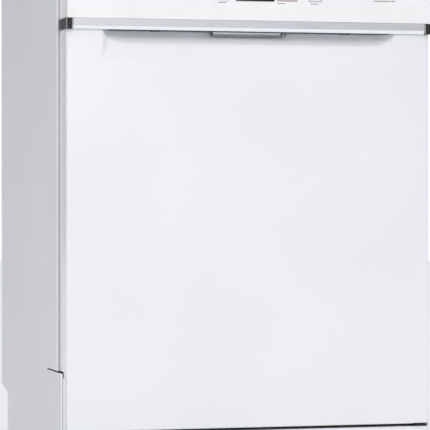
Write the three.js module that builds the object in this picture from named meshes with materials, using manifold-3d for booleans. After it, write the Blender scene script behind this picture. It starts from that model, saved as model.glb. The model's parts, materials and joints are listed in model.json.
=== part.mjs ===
// Built-in dishwasher for a 60 cm kitchen run, closed and at rest.
// Millimetres. X to the right, Y to the back, Z up. The origin is on the floor, in the middle of the
// appliance, so the front is at -DEPTH / 2.

import * as THREE from 'three';
import { mergeVertices } from 'three/addons/utils/BufferGeometryUtils.js';
import Module from 'manifold-3d';

const wasm = await Module();
wasm.setup();

// ---- Driving dimensions: appliance ----
const WIDTH = 598;
const HEIGHT = 820;
const DEPTH = 555;
const TOUCH = 0.3; // gap between pieces that are fixed against each other
const ROUND_STEPS = 24; // sides of a turned piece

// ---- Cabinet ----
const SIDE_SHEET = 1.2;
const SIDE_BOTTOM = 30;
const SIDE_FLANGE = 12; // front fold of a side panel
const DOOR_GAP = 2.5; // from the back of the door to the side panel's fold
const SKIRT_REACH = 32.5; // how far the foot of a side panel runs on beside the door
const SKIRT_TOP = 163;
const SKIRT_RADIUS = 8;
const SKIRT_SLIT_HEIGHT = 2;
const SKIRT_SLIT_LENGTH = 84;
const HEEL_DEPTH = 58; // recess for hoses at the lower back
const HEEL_LOW = 99;
const HEEL_HIGH = 110;
const REAR_SHEET = 1.5;
const BASE_WALL = 3;
const BASE_TOP = 110;
const RAIL_DEPTH = 43;
const RAIL_HEIGHT = 32;
const RAIL_SHEET = 1.5;
const STRIKE = [10, 11, 24]; // width, height, drop of its lower edge below the top of the control panel
const STRIKE_REACH = 12; // into the back of the door
const STRIKE_TIP = 5; // thickness of its upturned end
const STRIKE_BAR = 8; // height of the bar behind the tip
const FOOT_HEIGHT = 24;
const FOOT_PAD_RADIUS = 20;
const FOOT_STEM_RADIUS = 6;
const FOOT_INSET = 35;
const BASE_SETBACK = 58.5; // front of the base tray behind the front of the control panel
const PLINTH_RECESS = 4; // behind the front of the door
const PLINTH_GAP = 4.5; // from the top of the plinth to the door
const PLINTH_BOTTOM = 6;
const PLINTH_THICKNESS = 6;
const PLINTH_WING = 1.4; // thickness of the wings that stand beside the door
const PLINTH_WING_DROP = 6; // wing below the top of the side panel's skirt

// ---- Tub ----
const TUB_SIDE_SPACE = 29; // from the outside of the cabinet to the inside of the tub
const TUB_SHEET = 1.5;
const TUB_FLOOR = 130;
const TUB_TOP_SPACE = 50; // from the top of the cabinet to the ceiling of the tub
const TUB_BACK_SPACE = 27.5;
const TUB_FLANGE = 15.5;
const GASKET_WIDTH = 12;
const WELL_X = 60; // filter well
const WELL_Y = -75;
const WELL_RADIUS = 42;
const FILTER_RIM = 4; // top of the filter above the tub floor
const FILTER_STEP = 8; // how much narrower the filter is below its rim
const FILTER_COLLAR = [12, 6]; // cone between the filter's two widths, below the tub floor
const GRIP_WIDTH = 8;
const GRIP_HEIGHT = 4;
const CAP_HEIGHT = 5;
const SUMP_WALL = 4;
const SUMP_DEPTH = 56;
const FILTER_PLATE = [250, 130, 1.5];
const SALT_X = -130;
const SALT_Y = 110;
const SALT_NECK_RADIUS = 28;
const ARM_PIVOT_Y = 5; // both spray arms turn about x = 0 on this line
const FEED_PIPE_RADIUS = 9;
const FEED_HOLE_RADIUS = 12;
const FEED_PIPE_GAP = 4; // from the back wall of the tub
const FEED_PIPE_BEND = 14;
const FEED_PIPE_RISE = 22; // end of the pipe above the upper spray arm
const PUMP_LIFT = 46; // axis above the bottom of the base tray
const PUMP_RADIUS = 32;
const PUMP_LENGTH = 122;
const PUMP_END = 12; // right-hand end of the pump
const DRAIN_PUMP_RADIUS = 20;
const DRAIN_PUMP_LENGTH = 60;
const SALT_BOX = [110, 120, 58]; // width, depth, height above the floor where it starts
const SPRING_INSET = 12; // spring axis from the wall of the base tray
const SPRING_RADIUS = 9;
const SPRING_LENGTH = 140;
const HOSE_BLOCK = [60, 14, 36];
const HOSE_X = -170;
const INLET = [9, 36, -16]; // radius, reach, x on the block
const DRAIN_SPIGOT = [11, 34, 14];
const SPRING_SETBACK = 95; // middle of the spring behind the front of the base tray

// ---- Door ----
const PANEL_SIDE_GAP = 3; // control panel to the outside of the cabinet
const CAP_SIDE_GAP = 1; // trim caps to the outside of the cabinet
const DOOR_SIDE_GAP = 3; // door to the outside of the cabinet
const PANEL_TOP_GAP = 4;
const PANEL_HEIGHT = 101;
const PANEL_PROUD = 8; // control panel in front of the door
const PANEL_WALL = 1.7;
const TRIM_HEIGHT = 17;
const TRIM_BEVEL_HEIGHT = 6;
const TRIM_BEVEL_DEPTH = 5;
const TRIM_DEPTH = 36;
const TRIM_CAP_WIDTH = 11;
const DOOR_BOTTOM = 74.5;
const DOOR_DEPTH = 51.5;
const DOOR_FOOT_DEPTH = 23.5; // depth of the door beside the skirt of the side panels
const DOOR_SKIN = 1.5;
const DOOR_CORNER_RADIUS = 5;
const LINER_SHEET = 2;
const LINER_RETURN = 28;
const LINER_SLACK = 0.5; // between the liner and the door skin
const LINER_BOTTOM = 112;
const LINER_STEP = 166; // below this the liner is narrow, to pass the hinges
const HINGE_Y = 9.5; // pivot behind the door front
const HINGE_Z = 9.5; // pivot above the door bottom
const HINGE_PLATE = 4;
const HINGE_EYE_RADIUS = 7.2; // inside the sweep of the door skin
const HINGE_PIN_RADIUS = 4;
const HINGE_CLEARANCE = 0.4;
const HINGE_ARM_LENGTH = 66; // above the pivot
const BRACKET_FOOT = 50; // how far the bracket runs back over the base tray
const BRACKET_FOOT_HEIGHT = 20;
const BRACKET_NECK = 12; // where the bracket's slope ends, in front of the base tray
const BRACKET_GAP = 2; // from the bracket to the front of the base tray
const SCOOP_INSET = 58; // from each side of the door
const SCOOP_HEIGHT = 48;
const SCOOP_DEPTH = 28;
const SCOOP_KNEE = [0.32, 0.35]; // share of the depth and of the height where its slope changes
const SCOOP_ROOF = 8; // straight part under the trim
const LEVER_WIDTH = 122;
const LEVER_HEIGHT = 6;
const LEVER_THICKNESS = 7;
const LEVER_SETBACK = 10; // behind the door front
const LATCH_BOX = [56, 24, 30]; // width, depth, height of the latch housing
const LATCH_MOUTH = [16, 20]; // width, height of the hole that takes the strike
const LATCH_MOUTH_DEPTH = 16;
const LATCH_DROP = 6; // housing below the top of the control panel
const LATCH_MOUTH_DROP = 9;
const LATCH_SLOT_MARGIN = 4; // slot in the liner beyond the mouth, on each side

// ---- Controls: centre x, width; heights above the lower edge of the panel ----
const BUTTONS = [
  ['power_button', -205, 26],
  ['programme_button', -47, 20],
  ['option_button', 57, 34],
  ['start_button', 103.5, 22],
];
const BUTTON_HEIGHT = 13;
const BUTTON_Z = 38;
const BUTTON_THICKNESS = 7;
const BUTTON_CLEARANCE = 0.4;
const DISPLAY_X = 5;
const DISPLAY_Z = 45.8;
const DISPLAY_SIZE = [62, 30];
const DISPLAY_THICKNESS = 2.5;

// ---- Dispenser, on the inside of the door ----
const DISPENSER_SIZE = [150, 24, 105];
const DISPENSER_LIFT = 288; // above the hinge
const DISPENSER_PROUD = 2; // of the door liner
const CUP_X = -27;
const CUP_SIZE = [70, 20, 75];
const LID_MARGIN = 4;
const LID_THICKNESS = 2.5;
const RINSE_X = 44;
const RINSE_RADIUS = 22;

// ---- Racks ----
const RACK_SIDE_SPACE = 20; // from the tub wall to a rack
const RACK_FRONT_SPACE = 13; // from the door liner to a rack
const RACK_BACK_SPACE = 35;
const RACK_WALL = 4;
const LOWER_RACK_LIFT = 40; // above the tub floor
const LOWER_RACK_HEIGHT = 130;
const RACK_SPACE = 170; // between the lower rack's rim and the upper rack
const UPPER_RACK_HEIGHT = 130;
const WHEEL_RADIUS = 17;
const WHEEL_WIDTH = 10;
const WHEEL_LIFT = 0.6; // clear of the tub floor
const WHEEL_INSET = 40; // wheel centre from the end of the rack
const AXLE_RADIUS = 3;
const AXLE_CLEARANCE = 0.5;
const LEG_WIDTH = 6;
const LEG_DEPTH = 16;
const LEG_DROP = 7; // below the axle
const BASKET_SIZE = [220, 64, 112];
const BASKET_WALL = 3;
const SHELF_LENGTH = 240;
const SHELF_WIDTH = 78;
const SHELF_THICKNESS = 4;
const SHELF_HEIGHT = 70; // above the floor of the upper rack
const SLIDE_RAIL = [8, 24];
const SLIDE_RAIL_WALL = 1.6;
const SLIDE_RAIL_GAP = 2; // from the tub wall
const SLIDE_RAIL_LIFT = 102; // above the floor of the upper rack
const SPRAY_ARM_WIDTH = 40;
const SPRAY_ARM_THICKNESS = 12;
const SPRAY_HUB_RADIUS = 24;
const SPRAY_HUB_RISE = 8; // of the lower arm
const SPRAY_HUB_DROP = 6; // of the upper arm
const SPRAY_ARM_TURN = Math.PI * 0.17; // from the line across the front
const HUB_STUB_RADIUS = 10;
const FEED_TUBE_RADIUS = 6; // under the upper rack
const FEED_TUBE_DROP = 5;
const LOWER_ARM_RADIUS = 208;
const LOWER_ARM_LIFT = 10; // above the tub floor
const UPPER_ARM_RADIUS = 198;
const UPPER_ARM_DROP = 30; // below the floor of the upper rack

// ---- Planes that several pieces share ----
const panelFront = -DEPTH / 2;
const back = DEPTH / 2;
const sideX = WIDTH / 2;
const doorFront = panelFront + PANEL_PROUD;
const doorBack = doorFront + DOOR_DEPTH;
const doorX = sideX - DOOR_SIDE_GAP;
const panelX = sideX - PANEL_SIDE_GAP;
const capX = sideX - CAP_SIDE_GAP;
const panelTop = HEIGHT - PANEL_TOP_GAP;
const panelBottom = panelTop - PANEL_HEIGHT;
const trimBottom = panelBottom - TRIM_HEIGHT;
const flangeFront = doorBack + DOOR_GAP;
const innerX = sideX - SIDE_SHEET - TOUCH;
const tubX = sideX - TUB_SIDE_SPACE;
const tubFront = flangeFront + 2.6;
const tubBack = back - TUB_BACK_SPACE;
const tubCeiling = HEIGHT - TUB_TOP_SPACE;
const heelBack = back - HEEL_DEPTH;
const plinthFront = doorFront + PLINTH_RECESS;
const plinthTop = DOOR_BOTTOM - PLINTH_GAP;
const baseFront = panelFront + BASE_SETBACK;
const skirtFront = flangeFront - SKIRT_REACH;
const baseX = sideX - 5;
const linerX = doorX - DOOR_SKIN - LINER_SLACK;
const linerFootX = tubX + HINGE_PLATE;
const linerTop = panelTop - PANEL_WALL - TOUCH;
const hingeY = doorFront + HINGE_Y;
const hingeZ = DOOR_BOTTOM + HINGE_Z;
const rackX = tubX - RACK_SIDE_SPACE;
const rackFront = doorBack + RACK_FRONT_SPACE;
const rackBack = tubBack - RACK_BACK_SPACE;
const sumpTop = TUB_FLOOR - TUB_SHEET - TOUCH;
const lowerRackZ = TUB_FLOOR + LOWER_RACK_LIFT;
const upperRackZ = lowerRackZ + LOWER_RACK_HEIGHT + RACK_SPACE;
const lowerArmZ = TUB_FLOOR + LOWER_ARM_LIFT;
const upperArmZ = upperRackZ - UPPER_ARM_DROP;
const slideRailZ = upperRackZ + SLIDE_RAIL_LIFT;
const dispenserZ = hingeZ + DISPENSER_LIFT;
const pumpZ = FOOT_HEIGHT + PUMP_LIFT;
const springZ = pumpZ - 8;

// ---- Materials ----
function finish(color, roughness, metalness = 0) {
  return new THREE.MeshStandardMaterial({ color, roughness, metalness });
}
const whiteEnamel = finish(0xeceded, 0.35);
const coolSteel = finish(0xc9cbcc, 0.5, 0.3);
const whitePlastic = finish(0xf2f2f1, 0.4);
const greyPlastic = finish(0x9b9ea1, 0.5);
const darkPlastic = finish(0x2b2c2e, 0.45);
const satinTrim = finish(0xc6c8ca, 0.3, 0.6);
const stainless = finish(0xb9bcc0, 0.28, 1);
const zinc = finish(0xa2a6aa, 0.45, 0.9);
const rubber = finish(0x39393b, 0.8);
const blackGlass = finish(0x15171a, 0.1);
const wireCoating = finish(0xb6bac0, 0.4);
const blueGrey = finish(0x6f7f90, 0.45);

// ---- Shape helpers ----
function box(x0, x1, y0, y1, z0, z1) {
  const geometry = new THREE.BoxGeometry(x1 - x0, y1 - y0, z1 - z0);
  geometry.translate((x0 + x1) / 2, (y0 + y1) / 2, (z0 + z1) / 2);
  return geometry;
}

// A box whose x limits are given outwards from the middle, on the left (-1) or the right (1).
function sideBox(side, inner, outer, y0, y1, z0, z1) {
  return side > 0 ? box(inner, outer, y0, y1, z0, z1) : box(-outer, -inner, y0, y1, z0, z1);
}

function extruded(shape, depth) {
  return new THREE.ExtrudeGeometry(shape, { depth, bevelEnabled: false, curveSegments: 5 });
}

// A (y, z) outline, given thickness along x.
function sideSlab(shape, x0, x1) {
  const geometry = extruded(shape, x1 - x0);
  const toSide = new THREE.Matrix4();
  toSide.makeBasis(new THREE.Vector3(0, 1, 0), new THREE.Vector3(0, 0, 1), new THREE.Vector3(1, 0, 0));
  geometry.applyMatrix4(toSide);
  geometry.translate(x0, 0, 0);
  return geometry;
}

function mirroredSlab(side, shape, inner, outer) {
  return side > 0 ? sideSlab(shape, inner, outer) : sideSlab(shape, -outer, -inner);
}

// An (x, z) outline, given thickness along y.
function frontSlab(shape, y0, y1) {
  const geometry = extruded(shape, y1 - y0);
  geometry.rotateX(Math.PI / 2);
  geometry.translate(0, y1, 0);
  return geometry;
}

// An (x, y) outline, given thickness along z.
function flatSlab(shape, z0, z1) {
  const geometry = extruded(shape, z1 - z0);
  geometry.translate(0, 0, z0);
  return geometry;
}

function outline(points) {
  return new THREE.Shape(points.map(([u, v]) => new THREE.Vector2(u, v)));
}

function roundedRectangle(u0, u1, v0, v1, radius) {
  const shape = new THREE.Shape();
  shape.absarc(u1 - radius, v0 + radius, radius, -Math.PI / 2, 0, false);
  shape.absarc(u1 - radius, v1 - radius, radius, 0, Math.PI / 2, false);
  shape.absarc(u0 + radius, v1 - radius, radius, Math.PI / 2, Math.PI, false);
  shape.absarc(u0 + radius, v0 + radius, radius, Math.PI, Math.PI * 1.5, false);
  return shape;
}

// A turned piece about a vertical axis through the origin, from a (radius, z) outline that starts and ends at
// radius 0.
function turned(points) {
  const geometry = new THREE.LatheGeometry(points.map(([r, z]) => new THREE.Vector2(r, z)), ROUND_STEPS);
  geometry.rotateX(Math.PI / 2);
  return geometry;
}

function rod(radius, z0, z1) {
  return turned([[0, z0], [radius, z0], [radius, z1], [0, z1]]);
}

function rodAlongX(radius, x0, x1, y, z) {
  const geometry = rod(radius, x0, x1);
  geometry.rotateY(Math.PI / 2);
  geometry.translate(0, y, z);
  return geometry;
}

function rodAlongY(radius, y0, y1, x, z) {
  const geometry = rod(radius, -y1, -y0);
  geometry.rotateX(Math.PI / 2);
  geometry.translate(x, 0, z);
  return geometry;
}

function toSolid(geometry) {
  const bare = geometry.clone();
  bare.deleteAttribute('normal');
  bare.deleteAttribute('uv');
  const merged = mergeVertices(bare, 1e-3);
  return new wasm.Manifold(new wasm.Mesh({
    numProp: 3,
    vertProperties: new Float32Array(merged.attributes.position.array),
    triVerts: new Uint32Array(merged.index.array),
  }));
}

function toGeometry(manifold) {
  const mesh = manifold.getMesh();
  const geometry = new THREE.BufferGeometry();
  geometry.setAttribute('position', new THREE.BufferAttribute(new Float32Array(mesh.vertProperties), 3));
  geometry.setIndex(new THREE.BufferAttribute(new Uint32Array(mesh.triVerts), 1));
  geometry.computeVertexNormals();
  return geometry;
}

function join(first, ...others) {
  return toGeometry(others.reduce((whole, piece) => whole.add(toSolid(piece)), toSolid(first)));
}

function cut(first, ...tools) {
  return toGeometry(tools.reduce((whole, tool) => whole.subtract(toSolid(tool)), toSolid(first)));
}

function piece(group, name, geometry, material, place = [0, 0, 0]) {
  const mesh = new THREE.Mesh(geometry, material);
  mesh.name = name;
  mesh.position.set(...place);
  group.add(mesh);
  return mesh;
}

const SIDES = [['left', -1], ['right', 1]];

// ---- Groups ----
const dishwasher = new THREE.Group();
const cabinet = new THREE.Group();
const tub = new THREE.Group();
const door = new THREE.Group();
const lowerRack = new THREE.Group();
const upperRack = new THREE.Group();
dishwasher.add(cabinet, tub, door, lowerRack, upperRack);

// ---- Cabinet ----
function sidePanel(side) {
  const shape = new THREE.Shape();
  shape.moveTo(skirtFront, SIDE_BOTTOM);
  shape.lineTo(heelBack, SIDE_BOTTOM);
  shape.lineTo(heelBack, HEEL_LOW);
  shape.lineTo(back, HEEL_HIGH);
  shape.lineTo(back, HEIGHT);
  shape.lineTo(flangeFront, HEIGHT);
  shape.lineTo(flangeFront, SKIRT_TOP + SKIRT_SLIT_HEIGHT);
  shape.lineTo(flangeFront + SKIRT_SLIT_LENGTH, SKIRT_TOP + SKIRT_SLIT_HEIGHT);
  shape.lineTo(flangeFront + SKIRT_SLIT_LENGTH, SKIRT_TOP);
  shape.lineTo(skirtFront + SKIRT_RADIUS, SKIRT_TOP);
  shape.absarc(
    skirtFront + SKIRT_RADIUS, SKIRT_TOP - SKIRT_RADIUS, SKIRT_RADIUS, Math.PI / 2, Math.PI, false);
  shape.lineTo(skirtFront, SIDE_BOTTOM);
  const fold = sideBox(
    side, sideX - SIDE_FLANGE, sideX - SIDE_SHEET / 2,
    flangeFront, flangeFront + SIDE_SHEET, SKIRT_TOP + SKIRT_SLIT_HEIGHT, HEIGHT);
  return join(mirroredSlab(side, shape, sideX - SIDE_SHEET, sideX), fold);
}

function basePan() {
  const outer = box(-baseX, baseX, baseFront, heelBack - TOUCH, FOOT_HEIGHT, BASE_TOP);
  const hollow = box(
    BASE_WALL - baseX, baseX - BASE_WALL, baseFront + BASE_WALL, heelBack - TOUCH - BASE_WALL,
    FOOT_HEIGHT + BASE_WALL, BASE_TOP + 1);
  return cut(outer, hollow);
}

// Folded cross rail with the strike that the door latch closes on.
function topFrontRail() {
  const railFront = flangeFront + SIDE_SHEET + TOUCH * 2;
  const railBottom = HEIGHT - 2 - RAIL_HEIGHT;
  const outer = box(-innerX, innerX, railFront, railFront + RAIL_DEPTH, railBottom, HEIGHT - 2);
  const hollow = box(
    RAIL_SHEET - innerX, innerX - RAIL_SHEET, railFront + RAIL_SHEET, railFront + RAIL_DEPTH - RAIL_SHEET,
    railBottom - 1, HEIGHT - 2 - RAIL_SHEET);
  const [width, height, drop] = STRIKE;
  const low = panelTop - drop;
  const tipFront = doorBack - STRIKE_REACH;
  const strike = box(-width / 2, width / 2, tipFront, railFront + RAIL_SHEET / 2, low, low + STRIKE_BAR);
  const tip = box(-width / 2, width / 2, tipFront, tipFront + STRIKE_TIP, low, low + height);
  return join(cut(outer, hollow), strike, tip);
}

function hingeBracket(side) {
  const shape = new THREE.Shape();
  shape.absarc(hingeY, hingeZ, HINGE_EYE_RADIUS, Math.PI / 2, Math.PI * 1.5, false);
  shape.lineTo(baseFront - BRACKET_GAP, hingeZ - HINGE_EYE_RADIUS);
  shape.lineTo(baseFront - BRACKET_GAP, BASE_TOP + TOUCH);
  shape.lineTo(baseFront + BRACKET_FOOT, BASE_TOP + TOUCH);
  shape.lineTo(baseFront + BRACKET_FOOT, BASE_TOP + BRACKET_FOOT_HEIGHT);
  shape.lineTo(baseFront - BRACKET_NECK, BASE_TOP + BRACKET_FOOT_HEIGHT);
  const inner = linerFootX + TOUCH + HINGE_PLATE + 1;
  const pinStart = linerFootX + TOUCH * 2;
  const pin = side > 0
    ? rodAlongX(HINGE_PIN_RADIUS, pinStart, inner + 1, hingeY, hingeZ)
    : rodAlongX(HINGE_PIN_RADIUS, -inner - 1, -pinStart, hingeY, hingeZ);
  return join(mirroredSlab(side, shape, inner, inner + HINGE_PLATE), pin);
}

// Board under the door, with a top flange and a thin wing up each side of the door.
function plinth() {
  const board = box(-sideX, sideX, plinthFront, plinthFront + PLINTH_THICKNESS, PLINTH_BOTTOM, plinthTop);
  const flange = box(
    TOUCH - innerX, innerX - TOUCH, plinthFront + 1, baseFront - TOUCH, plinthTop - 3, plinthTop);
  const wingTop = SKIRT_TOP - PLINTH_WING_DROP;
  const shape = new THREE.Shape();
  shape.moveTo(plinthFront, PLINTH_BOTTOM);
  shape.lineTo(skirtFront - TOUCH, PLINTH_BOTTOM);
  shape.lineTo(skirtFront - TOUCH, wingTop);
  shape.absarc(plinthFront + SKIRT_RADIUS, wingTop - SKIRT_RADIUS, SKIRT_RADIUS, Math.PI / 2, Math.PI, false);
  shape.lineTo(plinthFront, PLINTH_BOTTOM);
  const wings = SIDES.map(([, side]) => mirroredSlab(side, shape, sideX - PLINTH_WING, sideX));
  return join(board, flange, ...wings);
}

piece(cabinet, 'base_tray', basePan(), greyPlastic);
for (const [label, side] of SIDES) {
  piece(cabinet, `side_panel_${label}`, sidePanel(side), coolSteel);
  piece(cabinet, `hinge_bracket_${label}`, hingeBracket(side), zinc);
  const springX = side * (baseX - BASE_WALL - SPRING_INSET);
  piece(cabinet, `door_spring_${label}`,
    rodAlongY(SPRING_RADIUS, -SPRING_LENGTH / 2, SPRING_LENGTH / 2, 0, 0), zinc,
    [springX, baseFront + SPRING_SETBACK, springZ]);
}
piece(cabinet, 'rear_panel',
  box(-innerX, innerX, back - REAR_SHEET - 1, back - 1, HEEL_HIGH + 2, HEIGHT - 1), coolSteel);
piece(cabinet, 'top_front_rail', topFrontRail(), zinc);
piece(cabinet, 'plinth', plinth(), whiteEnamel);

const footProfile = [
  [0, 0], [FOOT_PAD_RADIUS, 0], [FOOT_PAD_RADIUS, 6], [FOOT_PAD_RADIUS - 4, 10],
  [FOOT_STEM_RADIUS, 10], [FOOT_STEM_RADIUS, FOOT_HEIGHT - TOUCH], [0, FOOT_HEIGHT - TOUCH],
];
for (const [label, side] of SIDES) {
  for (const [end, y] of [['front', baseFront + FOOT_INSET], ['rear', heelBack - FOOT_INSET]]) {
    piece(cabinet, `foot_${end}_${label}`, turned(footProfile), darkPlastic,
      [side * (baseX - FOOT_INSET), y, 0]);
  }
}

// Water inlet and drain spigot, on one block in the recess at the lower back.
const [blockWidth, blockDepth, blockHeight] = HOSE_BLOCK;
const spigots = [INLET, DRAIN_SPIGOT].map(
  ([radius, reach, x]) => rodAlongY(radius, blockDepth - 1, reach, x, 0));
const hoseBlock = join(
  box(-blockWidth / 2, blockWidth / 2, 0, blockDepth, -blockHeight / 2, blockHeight / 2), ...spigots);
piece(cabinet, 'hose_connector', hoseBlock, whitePlastic, [HOSE_X, heelBack, springZ]);

// ---- Tub ----
function tubSide(side) {
  const wall = sideBox(side, tubX, tubX + TUB_SHEET, tubFront, tubBack, TUB_FLOOR, tubCeiling);
  const fold = sideBox(
    side, tubX + TUB_SHEET / 2, tubX + TUB_FLANGE, tubFront, tubFront + TUB_SHEET, LINER_STEP, tubCeiling);
  return join(wall, fold);
}

function tubTop() {
  const reach = tubX + TUB_FLANGE;
  const bottom = tubCeiling + TOUCH;
  const roof = box(-tubX - TUB_SHEET, tubX + TUB_SHEET, tubFront, tubBack, bottom, bottom + TUB_SHEET);
  const fold = box(-reach, reach, tubFront, tubFront + TUB_SHEET, bottom, tubCeiling + TUB_FLANGE);
  return join(roof, fold);
}

function tubFloor() {
  const inner = tubX - TOUCH;
  const plate = box(-inner, inner, tubFront, tubBack - TOUCH, TUB_FLOOR - TUB_SHEET, TUB_FLOOR);
  const lip = box(-inner, inner, tubFront, tubFront + TUB_SHEET, BASE_TOP + TOUCH, TUB_FLOOR - TUB_SHEET / 2);
  const wellHole = rod(WELL_RADIUS, TUB_FLOOR - 5, TUB_FLOOR + 5);
  wellHole.translate(WELL_X, WELL_Y, 0);
  const saltHole = rod(SALT_NECK_RADIUS - 4, TUB_FLOOR - 5, TUB_FLOOR + 5);
  saltHole.translate(SALT_X, SALT_Y, 0);
  const feedHole = rod(FEED_HOLE_RADIUS, TUB_FLOOR - 5, TUB_FLOOR + 5);
  feedHole.translate(0, ARM_PIVOT_Y, 0);
  return cut(join(plate, lip), wellHole, saltHole, feedHole);
}

function gasket() {
  const inner = tubX + 2;
  const outer = inner + GASKET_WIDTH;
  const top = tubCeiling + 3;
  const shape = outline([
    [-outer, LINER_STEP], [-inner, LINER_STEP], [-inner, top], [inner, top], [inner, LINER_STEP],
    [outer, LINER_STEP], [outer, top + GASKET_WIDTH - 1], [-outer, top + GASKET_WIDTH - 1],
  ]);
  return frontSlab(shape, doorBack + TOUCH, tubFront - TOUCH);
}

for (const [label, side] of SIDES) {
  piece(tub, `tub_side_${label}`, tubSide(side), stainless);
}
piece(tub, 'tub_top', tubTop(), stainless);
piece(tub, 'tub_back',
  box(-tubX - TUB_SHEET, tubX + TUB_SHEET, tubBack + TOUCH, tubBack + TOUCH + TUB_SHEET,
    TUB_FLOOR - TUB_SHEET, tubCeiling + TUB_SHEET), stainless);
piece(tub, 'tub_floor', tubFloor(), stainless);
piece(tub, 'door_gasket', gasket(), rubber);

const sumpRadius = WELL_RADIUS + SUMP_WALL + 2;
const sumpBottom = sumpTop - SUMP_DEPTH;
piece(tub, 'sump_housing', turned([
  [0, sumpBottom], [sumpRadius, sumpBottom], [sumpRadius, sumpTop], [sumpRadius - SUMP_WALL, sumpTop],
  [sumpRadius - SUMP_WALL, sumpBottom + SUMP_WALL], [0, sumpBottom + SUMP_WALL],
]), greyPlastic, [WELL_X, WELL_Y, 0]);

// The circulation pump stands beside the sump; its outlet rises through the tub floor to the lower arm.
const pumpOutlet = rod(FEED_PIPE_RADIUS, pumpZ, lowerArmZ - TOUCH);
pumpOutlet.translate(0, ARM_PIVOT_Y, 0);
piece(tub, 'circulation_pump', join(
  rodAlongX(PUMP_RADIUS, PUMP_END - PUMP_LENGTH, PUMP_END, ARM_PIVOT_Y, pumpZ),
  pumpOutlet,
), greyPlastic);
piece(tub, 'drain_pump',
  rodAlongY(DRAIN_PUMP_RADIUS, 0, DRAIN_PUMP_LENGTH, 0, 0), darkPlastic,
  [WELL_X, WELL_Y + sumpRadius + 1, springZ]);
const [saltWidth, saltDepth, saltBottom] = SALT_BOX;
piece(tub, 'salt_reservoir', join(
  box(-saltWidth / 2, saltWidth / 2, -saltDepth / 2, saltDepth / 2, saltBottom, sumpTop - 12),
  rod(SALT_NECK_RADIUS, sumpTop - 13, sumpTop),
), whitePlastic, [SALT_X, SALT_Y, 0]);

const feedRoute = new THREE.CurvePath();
const feedY = tubBack - FEED_PIPE_RADIUS - FEED_PIPE_GAP;
const feedTop = upperArmZ + FEED_PIPE_RISE;
const bendStart = new THREE.Vector3(0, feedY, feedTop - FEED_PIPE_BEND);
feedRoute.add(new THREE.LineCurve3(new THREE.Vector3(0, feedY, TUB_FLOOR + TOUCH), bendStart));
feedRoute.add(new THREE.QuadraticBezierCurve3(
  bendStart, new THREE.Vector3(0, feedY, feedTop), new THREE.Vector3(0, feedY - FEED_PIPE_BEND, feedTop)));
const feedSection = new THREE.Shape();
feedSection.absarc(0, 0, FEED_PIPE_RADIUS, 0, Math.PI * 2, false);
piece(tub, 'water_feed_pipe', new THREE.ExtrudeGeometry(feedSection, {
  extrudePath: feedRoute, steps: 24, curveSegments: 3, bevelEnabled: false,
}), whitePlastic);

const [plateX, plateY, plateZ] = FILTER_PLATE;
const filterPlate = cut(
  box(-plateX / 2, plateX / 2, -plateY / 2, plateY / 2, TUB_FLOOR + TOUCH, TUB_FLOOR + TOUCH + plateZ),
  rod(WELL_RADIUS, TUB_FLOOR - 1, TUB_FLOOR + 5),
);
piece(tub, 'filter_plate', filterPlate, stainless, [WELL_X, WELL_Y, 0]);

// A bar across the top of a round piece, to turn it by.
function grip(radius, top) {
  const reach = radius - GRIP_HEIGHT;
  return box(-reach, reach, -GRIP_WIDTH / 2, GRIP_WIDTH / 2, top - 1, top + GRIP_HEIGHT);
}

const filterRadius = WELL_RADIUS - 2;
const filterTop = TUB_FLOOR + FILTER_RIM;
const [coneLow, coneHigh] = FILTER_COLLAR;
const filterCylinder = join(
  turned([
    [0, sumpBottom + SUMP_WALL + 2], [filterRadius - FILTER_STEP, sumpBottom + SUMP_WALL + 2],
    [filterRadius - FILTER_STEP, TUB_FLOOR - coneLow], [filterRadius, TUB_FLOOR - coneHigh],
    [filterRadius, filterTop], [0, filterTop],
  ]),
  grip(filterRadius, filterTop),
);
piece(tub, 'filter_cylinder', filterCylinder, greyPlastic, [WELL_X, WELL_Y, 0]);
piece(tub, 'salt_cap', join(
  rod(SALT_NECK_RADIUS, TUB_FLOOR + TOUCH, TUB_FLOOR + CAP_HEIGHT),
  grip(SALT_NECK_RADIUS, TUB_FLOOR + CAP_HEIGHT),
), blueGrey, [SALT_X, SALT_Y, 0]);

// A two-bladed spray arm about its own pivot, lying at an angle to the front.
function sprayArm(radius, hubBottom, hubTop) {
  const half = SPRAY_ARM_WIDTH / 2;
  const blade = flatSlab(roundedRectangle(-radius, radius, -half, half, half - 1), 0, SPRAY_ARM_THICKNESS);
  const arm = join(blade, rod(SPRAY_HUB_RADIUS, hubBottom, hubTop));
  arm.rotateZ(SPRAY_ARM_TURN);
  return arm;
}
piece(tub, 'lower_spray_arm', sprayArm(LOWER_ARM_RADIUS, 0, SPRAY_ARM_THICKNESS + SPRAY_HUB_RISE),
  greyPlastic, [0, ARM_PIVOT_Y, lowerArmZ]);

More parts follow.
